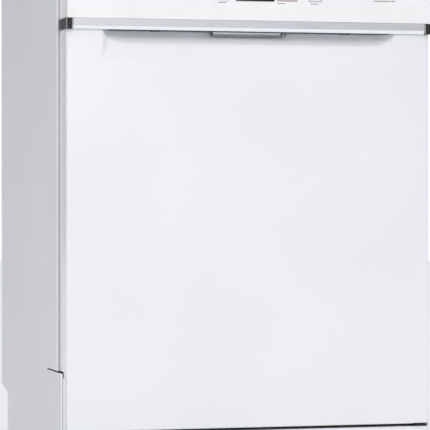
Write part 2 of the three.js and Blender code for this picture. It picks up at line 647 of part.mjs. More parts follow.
// ---- Door ----
function doorSkin() {
  const shell = cut(
    frontSlab(
      roundedRectangle(-doorX, doorX, DOOR_BOTTOM, trimBottom - TOUCH, DOOR_CORNER_RADIUS),
      doorFront, doorBack - LINER_SHEET),
    box(DOOR_SKIN - doorX, doorX - DOOR_SKIN, doorFront + DOOR_SKIN, doorBack + 1,
      DOOR_BOTTOM + DOOR_SKIN, trimBottom + 1),
  );
  const footBack = doorFront + DOOR_FOOT_DEPTH;
  const hingeCorner = linerFootX - 4;
  const scoopX = doorX - SCOOP_INSET;
  const top = trimBottom - TOUCH;
  const [kneeDepth, kneeHeight] = SCOOP_KNEE;
  const wedge = (grow) => sideSlab(outline([
    [doorFront - 1 + grow, top - SCOOP_HEIGHT - grow * 2],
    [doorFront + grow, top - SCOOP_HEIGHT - grow * 2],
    [doorFront + SCOOP_DEPTH * kneeDepth + grow, top - SCOOP_HEIGHT * kneeHeight - grow],
    [doorFront + SCOOP_DEPTH + grow, top - SCOOP_ROOF - grow],
    [doorFront + SCOOP_DEPTH + grow, top + (grow > 0 ? 0 : 1)],
    [doorFront - 1 + grow, top + (grow > 0 ? 0 : 1)],
  ]), -scoopX - grow, scoopX + grow);
  return cut(
    join(shell, wedge(DOOR_SKIN)),
    wedge(0),
    box(-doorX - 1, doorX + 1, footBack, doorBack + 1, DOOR_BOTTOM - 1, LINER_STEP),
    ...SIDES.map(([, side]) => sideBox(
      side, hingeCorner, doorX - DOOR_SKIN, doorFront + DOOR_SKIN, footBack + 1,
      DOOR_BOTTOM - 1, DOOR_BOTTOM + 3)),
  );
}

function doorLiner() {
  const shape = (inset) => outline([
    [-linerFootX + inset, LINER_BOTTOM + inset],
    [linerFootX - inset, LINER_BOTTOM + inset],
    [linerFootX - inset, LINER_STEP + inset],
    [linerX - inset, LINER_STEP + inset],
    [linerX - inset, linerTop - inset],
    [-linerX + inset, linerTop - inset],
    [-linerX + inset, LINER_STEP + inset],
    [-linerFootX + inset, LINER_STEP + inset],
  ]);
  const [width, , height] = DISPENSER_SIZE;
  const slotReach = LATCH_MOUTH[0] / 2 + LATCH_SLOT_MARGIN;
  const slotTop = panelTop - LATCH_MOUTH_DROP;
  return cut(
    frontSlab(shape(0), doorBack - LINER_RETURN, doorBack),
    frontSlab(shape(LINER_SHEET), doorBack - LINER_RETURN - 1, doorBack - LINER_SHEET),
    box(-width / 2 - 1, width / 2 + 1, doorBack - 5, doorBack + 5,
      dispenserZ - height / 2 - 1, dispenserZ + height / 2 + 1),
    box(-slotReach, slotReach, doorBack - 5, doorBack + 5, slotTop - LATCH_MOUTH[1] - 1, slotTop + 1),
  );
}

function controlPanel() {
  const frame = frontSlab(
    roundedRectangle(-panelX, panelX, panelBottom, panelTop, 2), panelFront, doorBack - LINER_SHEET);
  const hollow = box(
    PANEL_WALL - panelX, panelX - PANEL_WALL, panelFront + PANEL_WALL, doorBack + 1,
    panelBottom + PANEL_WALL, panelTop - PANEL_WALL);
  const underside = box(
    -linerX - 1, linerX + 1, doorBack - LINER_RETURN - 1, doorBack + 1,
    panelBottom - 1, panelBottom + PANEL_WALL + 1);
  const holes = BUTTONS.map(([, x, width]) => {
    const reachX = width / 2 + BUTTON_CLEARANCE;
    const reachZ = BUTTON_HEIGHT / 2 + BUTTON_CLEARANCE;
    const z = panelBottom + BUTTON_Z;
    return frontSlab(
      roundedRectangle(x - reachX, x + reachX, z - reachZ, z + reachZ, 3), panelFront - 1, panelFront + 5);
  });
  const [width, height] = DISPLAY_SIZE;
  const z = panelBottom + DISPLAY_Z;
  const window = box(
    DISPLAY_X - width / 2 - TOUCH, DISPLAY_X + width / 2 + TOUCH, panelFront - 1, panelFront + 5,
    z - height / 2 - TOUCH, z + height / 2 + TOUCH);
  return cut(frame, hollow, underside, window, ...holes);
}

function trimStrip() {
  const bottom = trimBottom;
  const top = panelBottom - TOUCH;
  const shape = outline([
    [panelFront, bottom + TRIM_BEVEL_HEIGHT],
    [panelFront + TRIM_BEVEL_DEPTH, bottom],
    [panelFront + TRIM_DEPTH, bottom],
    [panelFront + TRIM_DEPTH, top],
    [panelFront, top],
  ]);
  const reach = capX - TRIM_CAP_WIDTH - TOUCH;
  return sideSlab(shape, -reach, reach);
}

function trimCap(side) {
  const bottom = trimBottom;
  const top = panelBottom - TOUCH;
  const y0 = panelFront;
  const y1 = doorBack - LINER_SHEET - TOUCH;
  const shell = sideBox(side, capX - TRIM_CAP_WIDTH, capX, y0, y1, bottom, top);
  const linerPass = sideBox(
    side, capX - TRIM_CAP_WIDTH - 1, linerX + LINER_SLACK, doorBack - LINER_RETURN - 1, y1 + 1,
    bottom - 1, top + 1);
  return cut(shell, linerPass);
}

function dispenserBody() {
  const [width, depth, height] = DISPENSER_SIZE;
  const [cupWidth, cupDepth, cupHeight] = CUP_SIZE;
  const face = doorBack + DISPENSER_PROUD;
  return cut(
    box(-width / 2, width / 2, face - depth, face, dispenserZ - height / 2, dispenserZ + height / 2),
    box(CUP_X - cupWidth / 2, CUP_X + cupWidth / 2, face - cupDepth, face + 1,
      dispenserZ - cupHeight / 2, dispenserZ + cupHeight / 2),
  );
}

function latchHousing() {
  const [width, depth, height] = LATCH_BOX;
  const [mouthWidth, mouthHeight] = LATCH_MOUTH;
  const face = doorBack - LINER_SHEET;
  const top = panelTop - LATCH_DROP;
  const mouthTop = panelTop - LATCH_MOUTH_DROP;
  return cut(
    box(-width / 2, width / 2, face - depth, face - TOUCH, top - height, top),
    box(-mouthWidth / 2, mouthWidth / 2, face - LATCH_MOUTH_DEPTH, doorBack,
      mouthTop - mouthHeight, mouthTop),
  );
}

function hingeArm(side) {
  const shape = new THREE.Shape();
  shape.absarc(hingeY, hingeZ, HINGE_EYE_RADIUS, Math.PI, Math.PI * 2, false);
  shape.lineTo(hingeY + HINGE_EYE_RADIUS + 2, hingeZ + HINGE_ARM_LENGTH);
  shape.lineTo(hingeY - HINGE_EYE_RADIUS, hingeZ + HINGE_ARM_LENGTH);
  const inner = linerFootX + TOUCH;
  const radius = HINGE_PIN_RADIUS + HINGE_CLEARANCE;
  const hole = side > 0
    ? rodAlongX(radius, inner - 1, inner + HINGE_PLATE + 1, hingeY, hingeZ)
    : rodAlongX(radius, -inner - HINGE_PLATE - 1, -inner + 1, hingeY, hingeZ);
  return cut(mirroredSlab(side, shape, inner, inner + HINGE_PLATE), hole);
}

piece(door, 'door_outer_panel', doorSkin(), whiteEnamel);
piece(door, 'door_inner_liner', doorLiner(), stainless);
piece(door, 'control_panel', controlPanel(), whitePlastic);
piece(door, 'trim_strip', trimStrip(), satinTrim);
for (const [label, side] of SIDES) {
  piece(door, `trim_cap_${label}`, trimCap(side), darkPlastic);
  piece(door, `hinge_arm_${label}`, hingeArm(side), zinc);
}
const [displayWidth, displayHeight] = DISPLAY_SIZE;
piece(door, 'display_window',
  box(-displayWidth / 2, displayWidth / 2, 0, DISPLAY_THICKNESS, -displayHeight / 2, displayHeight / 2),
  blackGlass, [DISPLAY_X, panelFront + 0.2, panelBottom + DISPLAY_Z]);
for (const [name, x, width] of BUTTONS) {
  const half = BUTTON_HEIGHT / 2;
  const key = frontSlab(roundedRectangle(-width / 2, width / 2, -half, half, 2.6), 0, BUTTON_THICKNESS);
  piece(door, name, key, whitePlastic, [x, panelFront, panelBottom + BUTTON_Z]);
}
piece(door, 'dispenser_body', dispenserBody(), greyPlastic);
piece(door, 'dispenser_lid',
  box(-CUP_SIZE[0] / 2 - LID_MARGIN, CUP_SIZE[0] / 2 + LID_MARGIN, 0, LID_THICKNESS,
    -CUP_SIZE[2] / 2 - LID_MARGIN, CUP_SIZE[2] / 2 + LID_MARGIN),
  greyPlastic, [CUP_X, doorBack + DISPENSER_PROUD + TOUCH, dispenserZ]);
piece(door, 'rinse_cap', rodAlongY(RINSE_RADIUS, 0, LID_THICKNESS, 0, 0),
  blueGrey, [RINSE_X, doorBack + DISPENSER_PROUD + TOUCH, dispenserZ]);
piece(door, 'latch_housing', latchHousing(), darkPlastic);
piece(door, 'latch_lever',
  frontSlab(roundedRectangle(-LEVER_WIDTH / 2, LEVER_WIDTH / 2, -LEVER_HEIGHT, 0, 2), 0, LEVER_THICKNESS),
  greyPlastic, [0, doorFront + LEVER_SETBACK, trimBottom - 1]);

// ---- Lower rack ----
function openTray(x, y0, y1, z0, z1, wall) {
  return cut(box(-x, x, y0, y1, z0, z1), box(wall - x, x - wall, y0 + wall, y1 - wall, z0 + wall, z1 + 1));
}

const axleZ = TUB_FLOOR + WHEEL_LIFT + WHEEL_RADIUS;
const wheelPlaces = [['front', rackFront + WHEEL_INSET], ['rear', rackBack - WHEEL_INSET]];
const legs = [];
for (const [, side] of SIDES) {
  for (const [, y] of wheelPlaces) {
    legs.push(sideBox(
      side, rackX - LEG_WIDTH, rackX, y - LEG_DEPTH / 2, y + LEG_DEPTH / 2,
      axleZ - LEG_DROP, lowerRackZ + LEG_WIDTH));
    legs.push(side > 0
      ? rodAlongX(AXLE_RADIUS, rackX - 2, rackX + WHEEL_WIDTH + 2, y, axleZ)
      : rodAlongX(AXLE_RADIUS, -rackX - WHEEL_WIDTH - 2, 2 - rackX, y, axleZ));
  }
}
const lowerTop = lowerRackZ + LOWER_RACK_HEIGHT;
piece(lowerRack, 'lower_rack', join(
  openTray(rackX, rackFront, rackBack, lowerRackZ, lowerTop, RACK_WALL),
  ...legs,
), wireCoating);
const wheel = cut(
  rodAlongX(WHEEL_RADIUS, -WHEEL_WIDTH / 2, WHEEL_WIDTH / 2, 0, 0),
  rodAlongX(AXLE_RADIUS + AXLE_CLEARANCE, -WHEEL_WIDTH, WHEEL_WIDTH, 0, 0),
);
for (const [label, side] of SIDES) {
  for (const [end, y] of wheelPlaces) {
    piece(lowerRack, `wheel_${end}_${label}`, wheel, greyPlastic,
      [side * (rackX + 1 + WHEEL_WIDTH / 2), y, axleZ]);
  }
}
const [basketWidth, basketDepth, basketHeight] = BASKET_SIZE;
piece(lowerRack, 'cutlery_basket',
  openTray(basketWidth / 2, 0, basketDepth, 0, basketHeight, BASKET_WALL), greyPlastic,
  [0, rackFront + RACK_WALL + 0.5, lowerRackZ + RACK_WALL + TOUCH]);

// ---- Upper rack ----
const armTop = upperArmZ + SPRAY_ARM_THICKNESS;
const hubStub = rod(HUB_STUB_RADIUS, armTop + TOUCH, upperRackZ + 1);
hubStub.translate(0, ARM_PIVOT_Y, 0);
piece(upperRack, 'upper_rack', join(
  openTray(rackX, rackFront, rackBack, upperRackZ, upperRackZ + UPPER_RACK_HEIGHT, RACK_WALL),
  hubStub,
  rodAlongY(FEED_TUBE_RADIUS, ARM_PIVOT_Y, rackBack - 2, 0, upperRackZ - FEED_TUBE_DROP),
), wireCoating);
piece(upperRack, 'upper_spray_arm', sprayArm(UPPER_ARM_RADIUS, -SPRAY_HUB_DROP, SPRAY_ARM_THICKNESS),
  greyPlastic, [0, ARM_PIVOT_Y, upperArmZ]);

const [railWidth, railHeight] = SLIDE_RAIL;
const railOuter = tubX - SLIDE_RAIL_GAP;
for (const [label, side] of SIDES) {
  piece(upperRack, `cup_shelf_${label}`,
    sideBox(side, -SHELF_WIDTH, 0, -SHELF_LENGTH / 2, SHELF_LENGTH / 2,
      -SHELF_THICKNESS / 2, SHELF_THICKNESS / 2),
    wireCoating, [side * (rackX - RACK_WALL - 5), ARM_PIVOT_Y, upperRackZ + SHELF_HEIGHT]);
  const low = slideRailZ - railHeight / 2;
  const high = slideRailZ + railHeight / 2;
  const channel = cut(
    sideBox(side, railOuter - railWidth, railOuter, rackFront + 2, rackBack - 10, low, high),
    sideBox(side, railOuter - railWidth + SLIDE_RAIL_WALL, railOuter + 1, rackFront, rackBack,
      low + SLIDE_RAIL_WALL, high - SLIDE_RAIL_WALL),
  );
  piece(upperRack, `upper_rail_${label}`, channel, stainless);
}

export default dishwasher;
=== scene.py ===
"""Built-in dishwasher with a white enamelled door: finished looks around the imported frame.

Metres, +Z up, front at -Y.
"""

import json
import math

import bmesh
import bpy
from mathutils import Matrix, Vector


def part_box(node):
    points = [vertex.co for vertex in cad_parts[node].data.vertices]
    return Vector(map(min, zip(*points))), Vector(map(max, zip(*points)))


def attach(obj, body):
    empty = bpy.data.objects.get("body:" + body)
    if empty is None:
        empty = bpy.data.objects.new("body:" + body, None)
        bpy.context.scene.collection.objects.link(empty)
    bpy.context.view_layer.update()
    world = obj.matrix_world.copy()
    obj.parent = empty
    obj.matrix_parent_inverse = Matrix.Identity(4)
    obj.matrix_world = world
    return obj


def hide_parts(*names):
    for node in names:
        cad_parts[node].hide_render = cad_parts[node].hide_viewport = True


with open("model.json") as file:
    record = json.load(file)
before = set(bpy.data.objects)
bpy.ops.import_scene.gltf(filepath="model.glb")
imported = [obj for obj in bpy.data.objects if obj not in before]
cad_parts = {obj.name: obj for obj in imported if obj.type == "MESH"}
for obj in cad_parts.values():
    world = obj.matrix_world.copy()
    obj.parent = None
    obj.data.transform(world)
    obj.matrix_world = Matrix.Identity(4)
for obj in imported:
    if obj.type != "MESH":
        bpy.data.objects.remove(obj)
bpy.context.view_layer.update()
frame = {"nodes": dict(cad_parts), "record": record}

MM = 0.001
SIDES = (("left", -1), ("right", 1))
SMOOTH_ANGLE = math.radians(35)

# ---- Camera, floor and light ------------------------------------------------------------------

CAMERA_PLACE = (-1.090, -4.119, 0.449)
CAMERA_YAW = math.radians(15)
CAMERA_PITCH = math.radians(0.564)
CAMERA_LENS = 212.7


def make_camera():
    camera = bpy.data.objects.new("camera", bpy.data.cameras.new("camera"))
    camera.data.lens = CAMERA_LENS
    camera.data.clip_end = 50
    camera.location = CAMERA_PLACE
    camera.rotation_euler = (math.pi / 2 - CAMERA_PITCH, 0, -CAMERA_YAW)
    bpy.context.scene.collection.objects.link(camera)
    bpy.context.scene.camera = camera


def area_light(name, place, target, size, watts, colour=(1, 1, 1)):
    data = bpy.data.lights.new(name, "AREA")
    data.shape = "RECTANGLE"
    data.size, data.size_y = size
    data.energy = watts
    data.color = colour
    lamp = bpy.data.objects.new(name, data)
    lamp.location = place
    lamp.rotation_euler = (Vector(target) - Vector(place)).to_track_quat("-Z", "Y").to_euler()
    bpy.context.scene.collection.objects.link(lamp)


# ---- Nodes and materials ----------------------------------------------------------------------


def linear(hex_colour):
    """An sRGB hex colour as linear red, green, blue and alpha."""
    parts = [int(hex_colour[i : i + 2], 16) / 255 for i in (1, 3, 5)]
    return [c / 12.92 if c <= 0.04045 else ((c + 0.055) / 1.055) ** 2.4 for c in parts] + [1]


def add_node(tree, kind, sockets=None, **settings):
    """Adds a node with its settings; a socket takes a value, or another node's output as a link."""
    made = tree.nodes.new(kind)
    for key, value in settings.items():
        setattr(made, key, value)
    for key, value in (sockets or {}).items():
        if isinstance(value, bpy.types.NodeSocket):
            tree.links.new(value, made.inputs[key])
        else:
            made.inputs[key].default_value = value
    return made


def start_material(name, roughness, metallic=0.0, **sockets):
    """A new material, its node tree, its shader and object coordinates measured in millimetres."""
    material = bpy.data.materials.new(name)
    material.use_nodes = True
    tree = material.node_tree
    tree.nodes.clear()
    finish = {"Roughness": roughness, "Metallic": metallic, **sockets}
    shader = add_node(tree, "ShaderNodeBsdfPrincipled", finish)
    output = add_node(tree, "ShaderNodeOutputMaterial")
    tree.links.new(shader.outputs["BSDF"], output.inputs["Surface"])
    place = add_node(tree, "ShaderNodeTexCoord")
    in_millimetres = {0: place.outputs["Object"], 1: (1000, 1000, 1000)}
    millimetres = add_node(tree, "ShaderNodeVectorMath", in_millimetres, operation="MULTIPLY")
    return material, tree, shader, millimetres.outputs["Vector"]


def two_tone(tree, shader, field, dark, light, low=0.35, high=0.65):
    """Base colour that drifts between two tones as a 0 to 1 field goes from low to high."""
    ramp = add_node(tree, "ShaderNodeValToRGB", {"Fac": field})
    ramp.color_ramp.elements[0].position = low
    ramp.color_ramp.elements[1].position = high
    ramp.color_ramp.elements[0].color = linear(dark)
    ramp.color_ramp.elements[1].color = linear(light)
    tree.links.new(ramp.outputs["Color"], shader.inputs["Base Color"])


def relief(tree, shader, field, height_mm):
    bump = add_node(tree, "ShaderNodeBump", {"Height": field, "Distance": height_mm * MM})
    tree.links.new(bump.outputs["Normal"], shader.inputs["Normal"])


def roughness_range(tree, shader, field, low, high):
    limits = {"Value": field, "From Min": 0.3, "From Max": 0.7, "To Min": low, "To Max": high}
    spread = add_node(tree, "ShaderNodeMapRange", limits)
    tree.links.new(spread.outputs["Result"], shader.inputs["Roughness"])


def enamelled_steel():
    """Sheet steel, powder coated and stoved: a smooth white skin with the faint orange peel of the coat."""
    coat = {"Coat Weight": 0.25, "Coat Roughness": 0.12}
    material, tree, shader, mm = start_material("enamelled_steel", 0.3, **coat)
    # Peel cells are about 1.5 mm across on the real coat; drawn at 6 mm so that they show at all.
    peel = add_node(tree, "ShaderNodeTexNoise", {"Vector": mm, "Scale": 1 / 6, "Detail": 2})
    drift = add_node(tree, "ShaderNodeTexNoise", {"Vector": mm, "Scale": 1 / 220, "Detail": 1})
    two_tone(tree, shader, drift.outputs["Fac"], "#f0f1f4", "#f3f4f6")
    relief(tree, shader, peel.outputs["Fac"], 0.012)
    return material


def coated_side_steel():
    """Coil-coated sheet for the casing: satin, cooler and flatter than the door."""
    material, tree, shader, mm = start_material("coated_side_steel", 0.5)
    peel = add_node(tree, "ShaderNodeTexNoise", {"Vector": mm, "Scale": 1 / 4, "Detail": 3})
    drift = add_node(tree, "ShaderNodeTexNoise", {"Vector": mm, "Scale": 1 / 300, "Detail": 1})
    two_tone(tree, shader, drift.outputs["Fac"], "#e4e5e8", "#e8e9ec")
    relief(tree, shader, peel.outputs["Fac"], 0.02)
    return material


def moulded_plastic(name, dark, light, roughness, grain_mm=0.9, grain_height=0.02):
    """Injection-moulded ABS or polypropylene with a fine spark-eroded grain that softens its highlights."""
    material, tree, shader, mm = start_material(name, roughness)
    # The real grain is about 0.2 mm; it is drawn coarser so that it survives at viewing size.
    grain = add_node(tree, "ShaderNodeTexVoronoi", {"Vector": mm, "Scale": 1 / grain_mm})
    cloud = add_node(tree, "ShaderNodeTexNoise", {"Vector": mm, "Scale": 1 / 60, "Detail": 3})
    two_tone(tree, shader, cloud.outputs["Fac"], dark, light)
    relief(tree, shader, grain.outputs["Distance"], grain_height)
    roughness_range(tree, shader, cloud.outputs["Fac"], roughness - 0.05, roughness + 0.06)
    return material


def brushed_metal(name, dark, light, roughness, stretch, line_mm=0.4, height=0.01):
    """Metal brushed along one axis: lines a few tenths of a millimetre wide that draw the highlight out."""
    material, tree, shader, mm = start_material(name, roughness, 1.0)
    along = add_node(tree, "ShaderNodeMapping", {"Vector": mm, "Scale": stretch})
    strokes = {"Vector": along.outputs["Vector"], "Scale": 1 / line_mm, "Detail": 3}
    lines = add_node(tree, "ShaderNodeTexNoise", strokes)
    two_tone(tree, shader, lines.outputs["Fac"], dark, light)
    relief(tree, shader, lines.outputs["Fac"], height)
    roughness_range(tree, shader, lines.outputs["Fac"], roughness - 0.05, roughness + 0.08)
    return material


def perforated_steel(name, pitch_mm):
    """Etched filter sheet: stainless with round holes in rows, drawn as dark dots."""
    material, tree, shader, mm = start_material(name, 0.35, 1.0)
    cells = add_node(tree, "ShaderNodeTexVoronoi", {"Vector": mm, "Scale": 1 / pitch_mm, "Randomness": 0.0})
    two_tone(tree, shader, cells.outputs["Distance"], "#2c2e31", "#b4b7bb", 0.26, 0.3)
    relief(tree, shader, cells.outputs["Distance"], 0.2)
    return material


def nylon_coated_wire():
    """Steel wire dipped in polyamide powder: thick, slightly glossy grey skin, a little uneven."""
    material, tree, shader, mm = start_material("nylon_coated_wire", 0.38)
    skin = add_node(tree, "ShaderNodeTexNoise", {"Vector": mm, "Scale": 1 / 2.5, "Detail": 2})
    two_tone(tree, shader, skin.outputs["Fac"], "#a3a8af", "#b4b9c0")
    relief(tree, shader, skin.outputs["Fac"], 0.06)
    return material


def gasket_rubber():
    """Extruded EPDM seal: dark, dull, with fine lines along its length."""
    material, tree, shader, mm = start_material("gasket_rubber", 0.7)
    bloom = add_node(tree, "ShaderNodeTexNoise", {"Vector": mm, "Scale": 1 / 3, "Detail": 4})
    two_tone(tree, shader, bloom.outputs["Fac"], "#2d2e30", "#3b3c3f")
    relief(tree, shader, bloom.outputs["Fac"], 0.05)
    return material


def display_glass():
    """Smoked acrylic window, polished: almost black with a clean reflection."""
    polish = {"Coat Weight": 0.6, "Coat Roughness": 0.03}
    material, tree, shader, mm = start_material("display_glass", 0.06, **polish)
    tint = add_node(tree, "ShaderNodeTexNoise", {"Vector": mm, "Scale": 1 / 40, "Detail": 1})
    two_tone(tree, shader, tint.outputs["Fac"], "#141316", "#201c20")
    return material


def bitumen_mat():
    """Bitumen-felt sound mat bonded to the tub: matt black-brown, pressed in a coarse diamond grain."""
    material, tree, shader, mm = start_material("bitumen_mat", 0.85)
    pressing = add_node(tree, "ShaderNodeTexVoronoi", {"Vector": mm, "Scale": 1 / 9, "Randomness": 0.25})
    dust = add_node(tree, "ShaderNodeTexNoise", {"Vector": mm, "Scale": 1 / 30, "Detail": 5})
    two_tone(tree, shader, dust.outputs["Fac"], "#262422", "#3a3734")
    relief(tree, shader, pressing.outputs["Distance"], 0.8)
    return material


def printing_ink():
    """Pad-printed grey ink of the panel's marks: thin and matt."""
    material, tree, shader, mm = start_material("printing_ink", 0.6)
    screen = add_node(tree, "ShaderNodeTexNoise", {"Vector": mm, "Scale": 2.0, "Detail": 1})
    two_tone(tree, shader, screen.outputs["Fac"], "#85868a", "#929398")
    return material


def pale_studio_paper():
    """Seamless background paper: pale and matt."""
    material, tree, shader, mm = start_material("pale_studio_paper", 0.9)
    fibre = add_node(tree, "ShaderNodeTexNoise", {"Vector": mm, "Scale": 1 / 8, "Detail": 3})
    two_tone(tree, shader, fibre.outputs["Fac"], "#f3f3f4", "#f6f6f7")
    return material


ENAMEL = enamelled_steel()
SIDE_STEEL = coated_side_steel()
PANEL_PLASTIC = moulded_plastic("moulded_abs_white", "#f3f3f3", "#f7f7f7", 0.38, 1.4, 0.006)
KEY_PLASTIC = moulded_plastic("moulded_key_white", "#efeff0", "#f3f3f4", 0.32, 1.4, 0.006)
WARM_KEY_PLASTIC = moulded_plastic("moulded_key_warm_grey", "#b9aaa8", "#c4b6b3", 0.35, 1.4, 0.006)
CAP_PLASTIC = moulded_plastic("moulded_cap_graphite", "#3a3c3e", "#46484b", 0.4, 0.9, 0.01)
GREY_PLASTIC = moulded_plastic("moulded_polypropylene_grey", "#8f9498", "#9ba0a4", 0.45)
LEVER_PLASTIC = moulded_plastic("moulded_lever_grey", "#e6e7ea", "#eeeff1", 0.35)
DARK_PLASTIC = moulded_plastic("moulded_plastic_black", "#151617", "#1e1f21", 0.5)
CLEAR_WHITE_PLASTIC = moulded_plastic("moulded_polypropylene_natural", "#dcdedd", "#e8e9e8", 0.4)
BLUE_PLASTIC = moulded_plastic("moulded_cap_blue_grey", "#5b7086", "#667b91", 0.4)
TRIM_METAL = brushed_metal("satin_anodised_aluminium", "#dcdde2", "#e5e6ea", 0.45, (0.02, 1, 1), 0.8, 0.006)
# A brighter, smoother copy of the trim's aluminium: painted highlight, used on the trim's lower lip and on
# the end caps' front corners.
PAINTED_HIGHLIGHT_METAL = brushed_metal("anodised_aluminium_painted_highlight", "#eceef2", "#f8fafc", 0.3, (0.02, 1, 1), 0.8, 0.003)
STAINLESS = brushed_metal("brushed_stainless_steel", "#b3b6ba", "#c2c5c9", 0.3, (1, 1, 0.03), 0.6)
STAINLESS_FLAT = brushed_metal("brushed_stainless_floor", "#a9acb0", "#bbbec2", 0.32, (0.03, 1, 1), 0.6)
ZINC = brushed_metal("zinc_plated_steel", "#989ca1", "#b2b6ba", 0.42, (1, 0.3, 1), 5.0, 0.02)
FILTER_STEEL = perforated_steel("etched_filter_steel", 3.2)
WIRE = nylon_coated_wire()
RUBBER = gasket_rubber()
GLASS = display_glass()
BITUMEN = bitumen_mat()
INK = printing_ink()
PAPER = pale_studio_paper()

# ---- Mesh helpers: shapes are drawn in millimetres, and finish_object brings them to metres ------


def finish_object(name, mesh, material, body, replaced=()):
    """Links a finished mesh, drawn in millimetres, as a piece that rides on a body."""
    mesh.transform(Matrix.Scale(MM, 4))
    mesh.materials.clear()
    mesh.materials.append(material)
    mesh.polygons.foreach_set("material_index", [0] * len(mesh.polygons))
    mesh.polygons.foreach_set("use_smooth", [True] * len(mesh.polygons))
    mesh.set_sharp_from_angle(angle=SMOOTH_ANGLE)
    # Normals follow the large faces, so that flat sheet stays flat beside its rounded edges.
    mesh = settled(mesh, ("WEIGHTED_NORMAL", {"keep_sharp": True, "weight": 80}))
    mesh.name = name
    piece = bpy.data.objects.new(name, mesh)
    bpy.context.scene.collection.objects.link(piece)
    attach(piece, body)
    if replaced:
        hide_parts(*replaced)
    return piece


def mesh_of(bm, name="shape"):
    mesh = bpy.data.meshes.new(name)
    bm.to_mesh(mesh)
    bm.free()
    return mesh


def joined(meshes):
    """One mesh out of several."""
    bm = bmesh.new()
    for mesh in meshes:
        bm.from_mesh(mesh)
    return mesh_of(bm)


def block(low, high, radius=0.0, segments=3):
    """A box between two corners with all its edges rounded."""
    bm = bmesh.new()
    bmesh.ops.create_cube(bm, size=1)
    size = [high[i] - low[i] for i in range(3)]
    middle = [(high[i] + low[i]) / 2 for i in range(3)]
    bmesh.ops.scale(bm, vec=size, verts=bm.verts)
    bmesh.ops.translate(bm, vec=middle, verts=bm.verts)
    if radius:
        bmesh.ops.bevel(bm, geom=bm.edges[:], offset=radius, segments=segments, profile=0.5, affect="EDGES")
    return mesh_of(bm)


def turned(profile, axis="Z", centre=(0, 0, 0), steps=48):
    """A body turned from (radius, height) points that start and end on the axis."""
    bm = bmesh.new()
    points = [bm.verts.new((r, 0, h)) for r, h in profile]
    edges = [bm.edges.new(pair) for pair in zip(points, points[1:])]
    bmesh.ops.spin(bm, geom=points + edges, axis=(0, 0, 1), cent=(0, 0, 0), steps=steps, angle=math.tau)
    bmesh.ops.remove_doubles(bm, verts=bm.verts, dist=1e-3)
    bmesh.ops.recalc_face_normals(bm, faces=bm.faces)
    turn = {"X": Matrix.Rotation(math.pi / 2, 3, "Y"), "Y": Matrix.Rotation(math.pi / 2, 3, "X")}.get(axis)
    if turn:
        bmesh.ops.rotate(bm, matrix=turn, verts=bm.verts)
    bmesh.ops.translate(bm, vec=centre, verts=bm.verts)
    return mesh_of(bm)


def prism(outline, axis, start, end, radius=0.0, segments=2):
    """An outline of two coordinates, drawn out along the axis that it doesn't hold, with rounded edges."""
    bm = bmesh.new()
    orders = {
        "X": lambda u, v, w: (w, u, v),
        "Y": lambda u, v, w: (u, w, v),
        "Z": lambda u, v, w: (u, v, w),
    }
    order = orders[axis]
    rings = [[bm.verts.new(order(u, v, w)) for u, v in outline] for w in (start, end)]
    count = len(outline)
    for i in range(count):
        j = (i + 1) % count
        bm.faces.new((rings[0][i], rings[0][j], rings[1][j], rings[1][i]))
    bm.faces.new(rings[0][::-1])
    bm.faces.new(rings[1])
    bmesh.ops.recalc_face_normals(bm, faces=bm.faces)
    if radius:
        bm.edges.ensure_lookup_table()
        sharp = [e for e in bm.edges if e.calc_face_angle(0) > math.radians(25)]
        bmesh.ops.bevel(bm, geom=sharp, offset=radius, segments=segments, profile=0.5, affect="EDGES")
    return mesh_of(bm)


def rounded_outline(u0, u1, v0, v1, radius, steps=5):
    corners = ((u1 - radius, v0 + radius, -90), (u1 - radius, v1 - radius, 0),
               (u0 + radius, v1 - radius, 90), (u0 + radius, v0 + radius, 180))
    points = []
    for u, v, start in corners:
        for step in range(steps + 1):
            angle = math.radians(start + 90 * step / steps)
            points.append((u + radius * math.cos(angle), v + radius * math.sin(angle)))
    return points


def grid_sheet(us, vs, place):
    """A sheet of quads over two lists of numbers; place(u, v) gives each point."""
    bm = bmesh.new()
    rows = [[bm.verts.new(place(u, v)) for u in us] for v in vs]
    for low, high in zip(rows, rows[1:]):
        for i in range(len(us) - 1):
            bm.faces.new((low[i], low[i + 1], high[i + 1], high[i]))
    return bm


def settled(mesh, *modifiers):
    """The mesh after a list of (type, settings) modifiers."""
    carrier = bpy.data.objects.new("carrier", mesh)
    bpy.context.scene.collection.objects.link(carrier)
    for kind, settings in modifiers:
        modifier = carrier.modifiers.new(kind.lower(), kind)
        for key, value in settings.items():
            setattr(modifier, key, value)
    depsgraph = bpy.context.evaluated_depsgraph_get()
    result = bpy.data.meshes.new_from_object(carrier.evaluated_get(depsgraph), depsgraph=depsgraph)
    bpy.data.objects.remove(carrier)
    return result


def carved(mesh, *cutters):
    """The mesh with each cutter taken out of it."""
    tools = []
    for cutter in cutters:
        tool = bpy.data.objects.new("cutter", cutter)
        bpy.context.scene.collection.objects.link(tool)
        tools.append(tool)
    cuts = [("BOOLEAN", {"operation": "DIFFERENCE", "solver": "EXACT", "object": tool}) for tool in tools]
    result = settled(mesh, *cuts)
    for tool in tools:
        bpy.data.objects.remove(tool)
    return result


def eased(node, radius, segments=2):
    """A copy of a CAD node with its sharp edges rounded."""
    bm = bmesh.new()
    bm.from_mesh(frame["nodes"][node].data)
    bmesh.ops.scale(bm, vec=(1 / MM,) * 3, verts=bm.verts)
    bmesh.ops.remove_doubles(bm, verts=bm.verts, dist=2e-3)
    bmesh.ops.dissolve_limit(bm, angle_limit=math.radians(1), verts=bm.verts, edges=bm.edges)
    sharp = [e for e in bm.edges if e.is_manifold and e.calc_face_angle(0) > math.radians(28)]
    bmesh.ops.bevel(
        bm, geom=sharp, offset=radius, segments=segments, profile=0.5, affect="EDGES", clamp_overlap=True
    )
    return mesh_of(bm)


def ease_piece(node, radius, material, body):
    """Shows a CAD node as an eased copy under its own name."""
    return finish_object(f"{node}_shell", eased(node, radius), material, body, (node,))


# ---- Geometry Nodes: bent wire and rows of small pieces ---------------------------------------


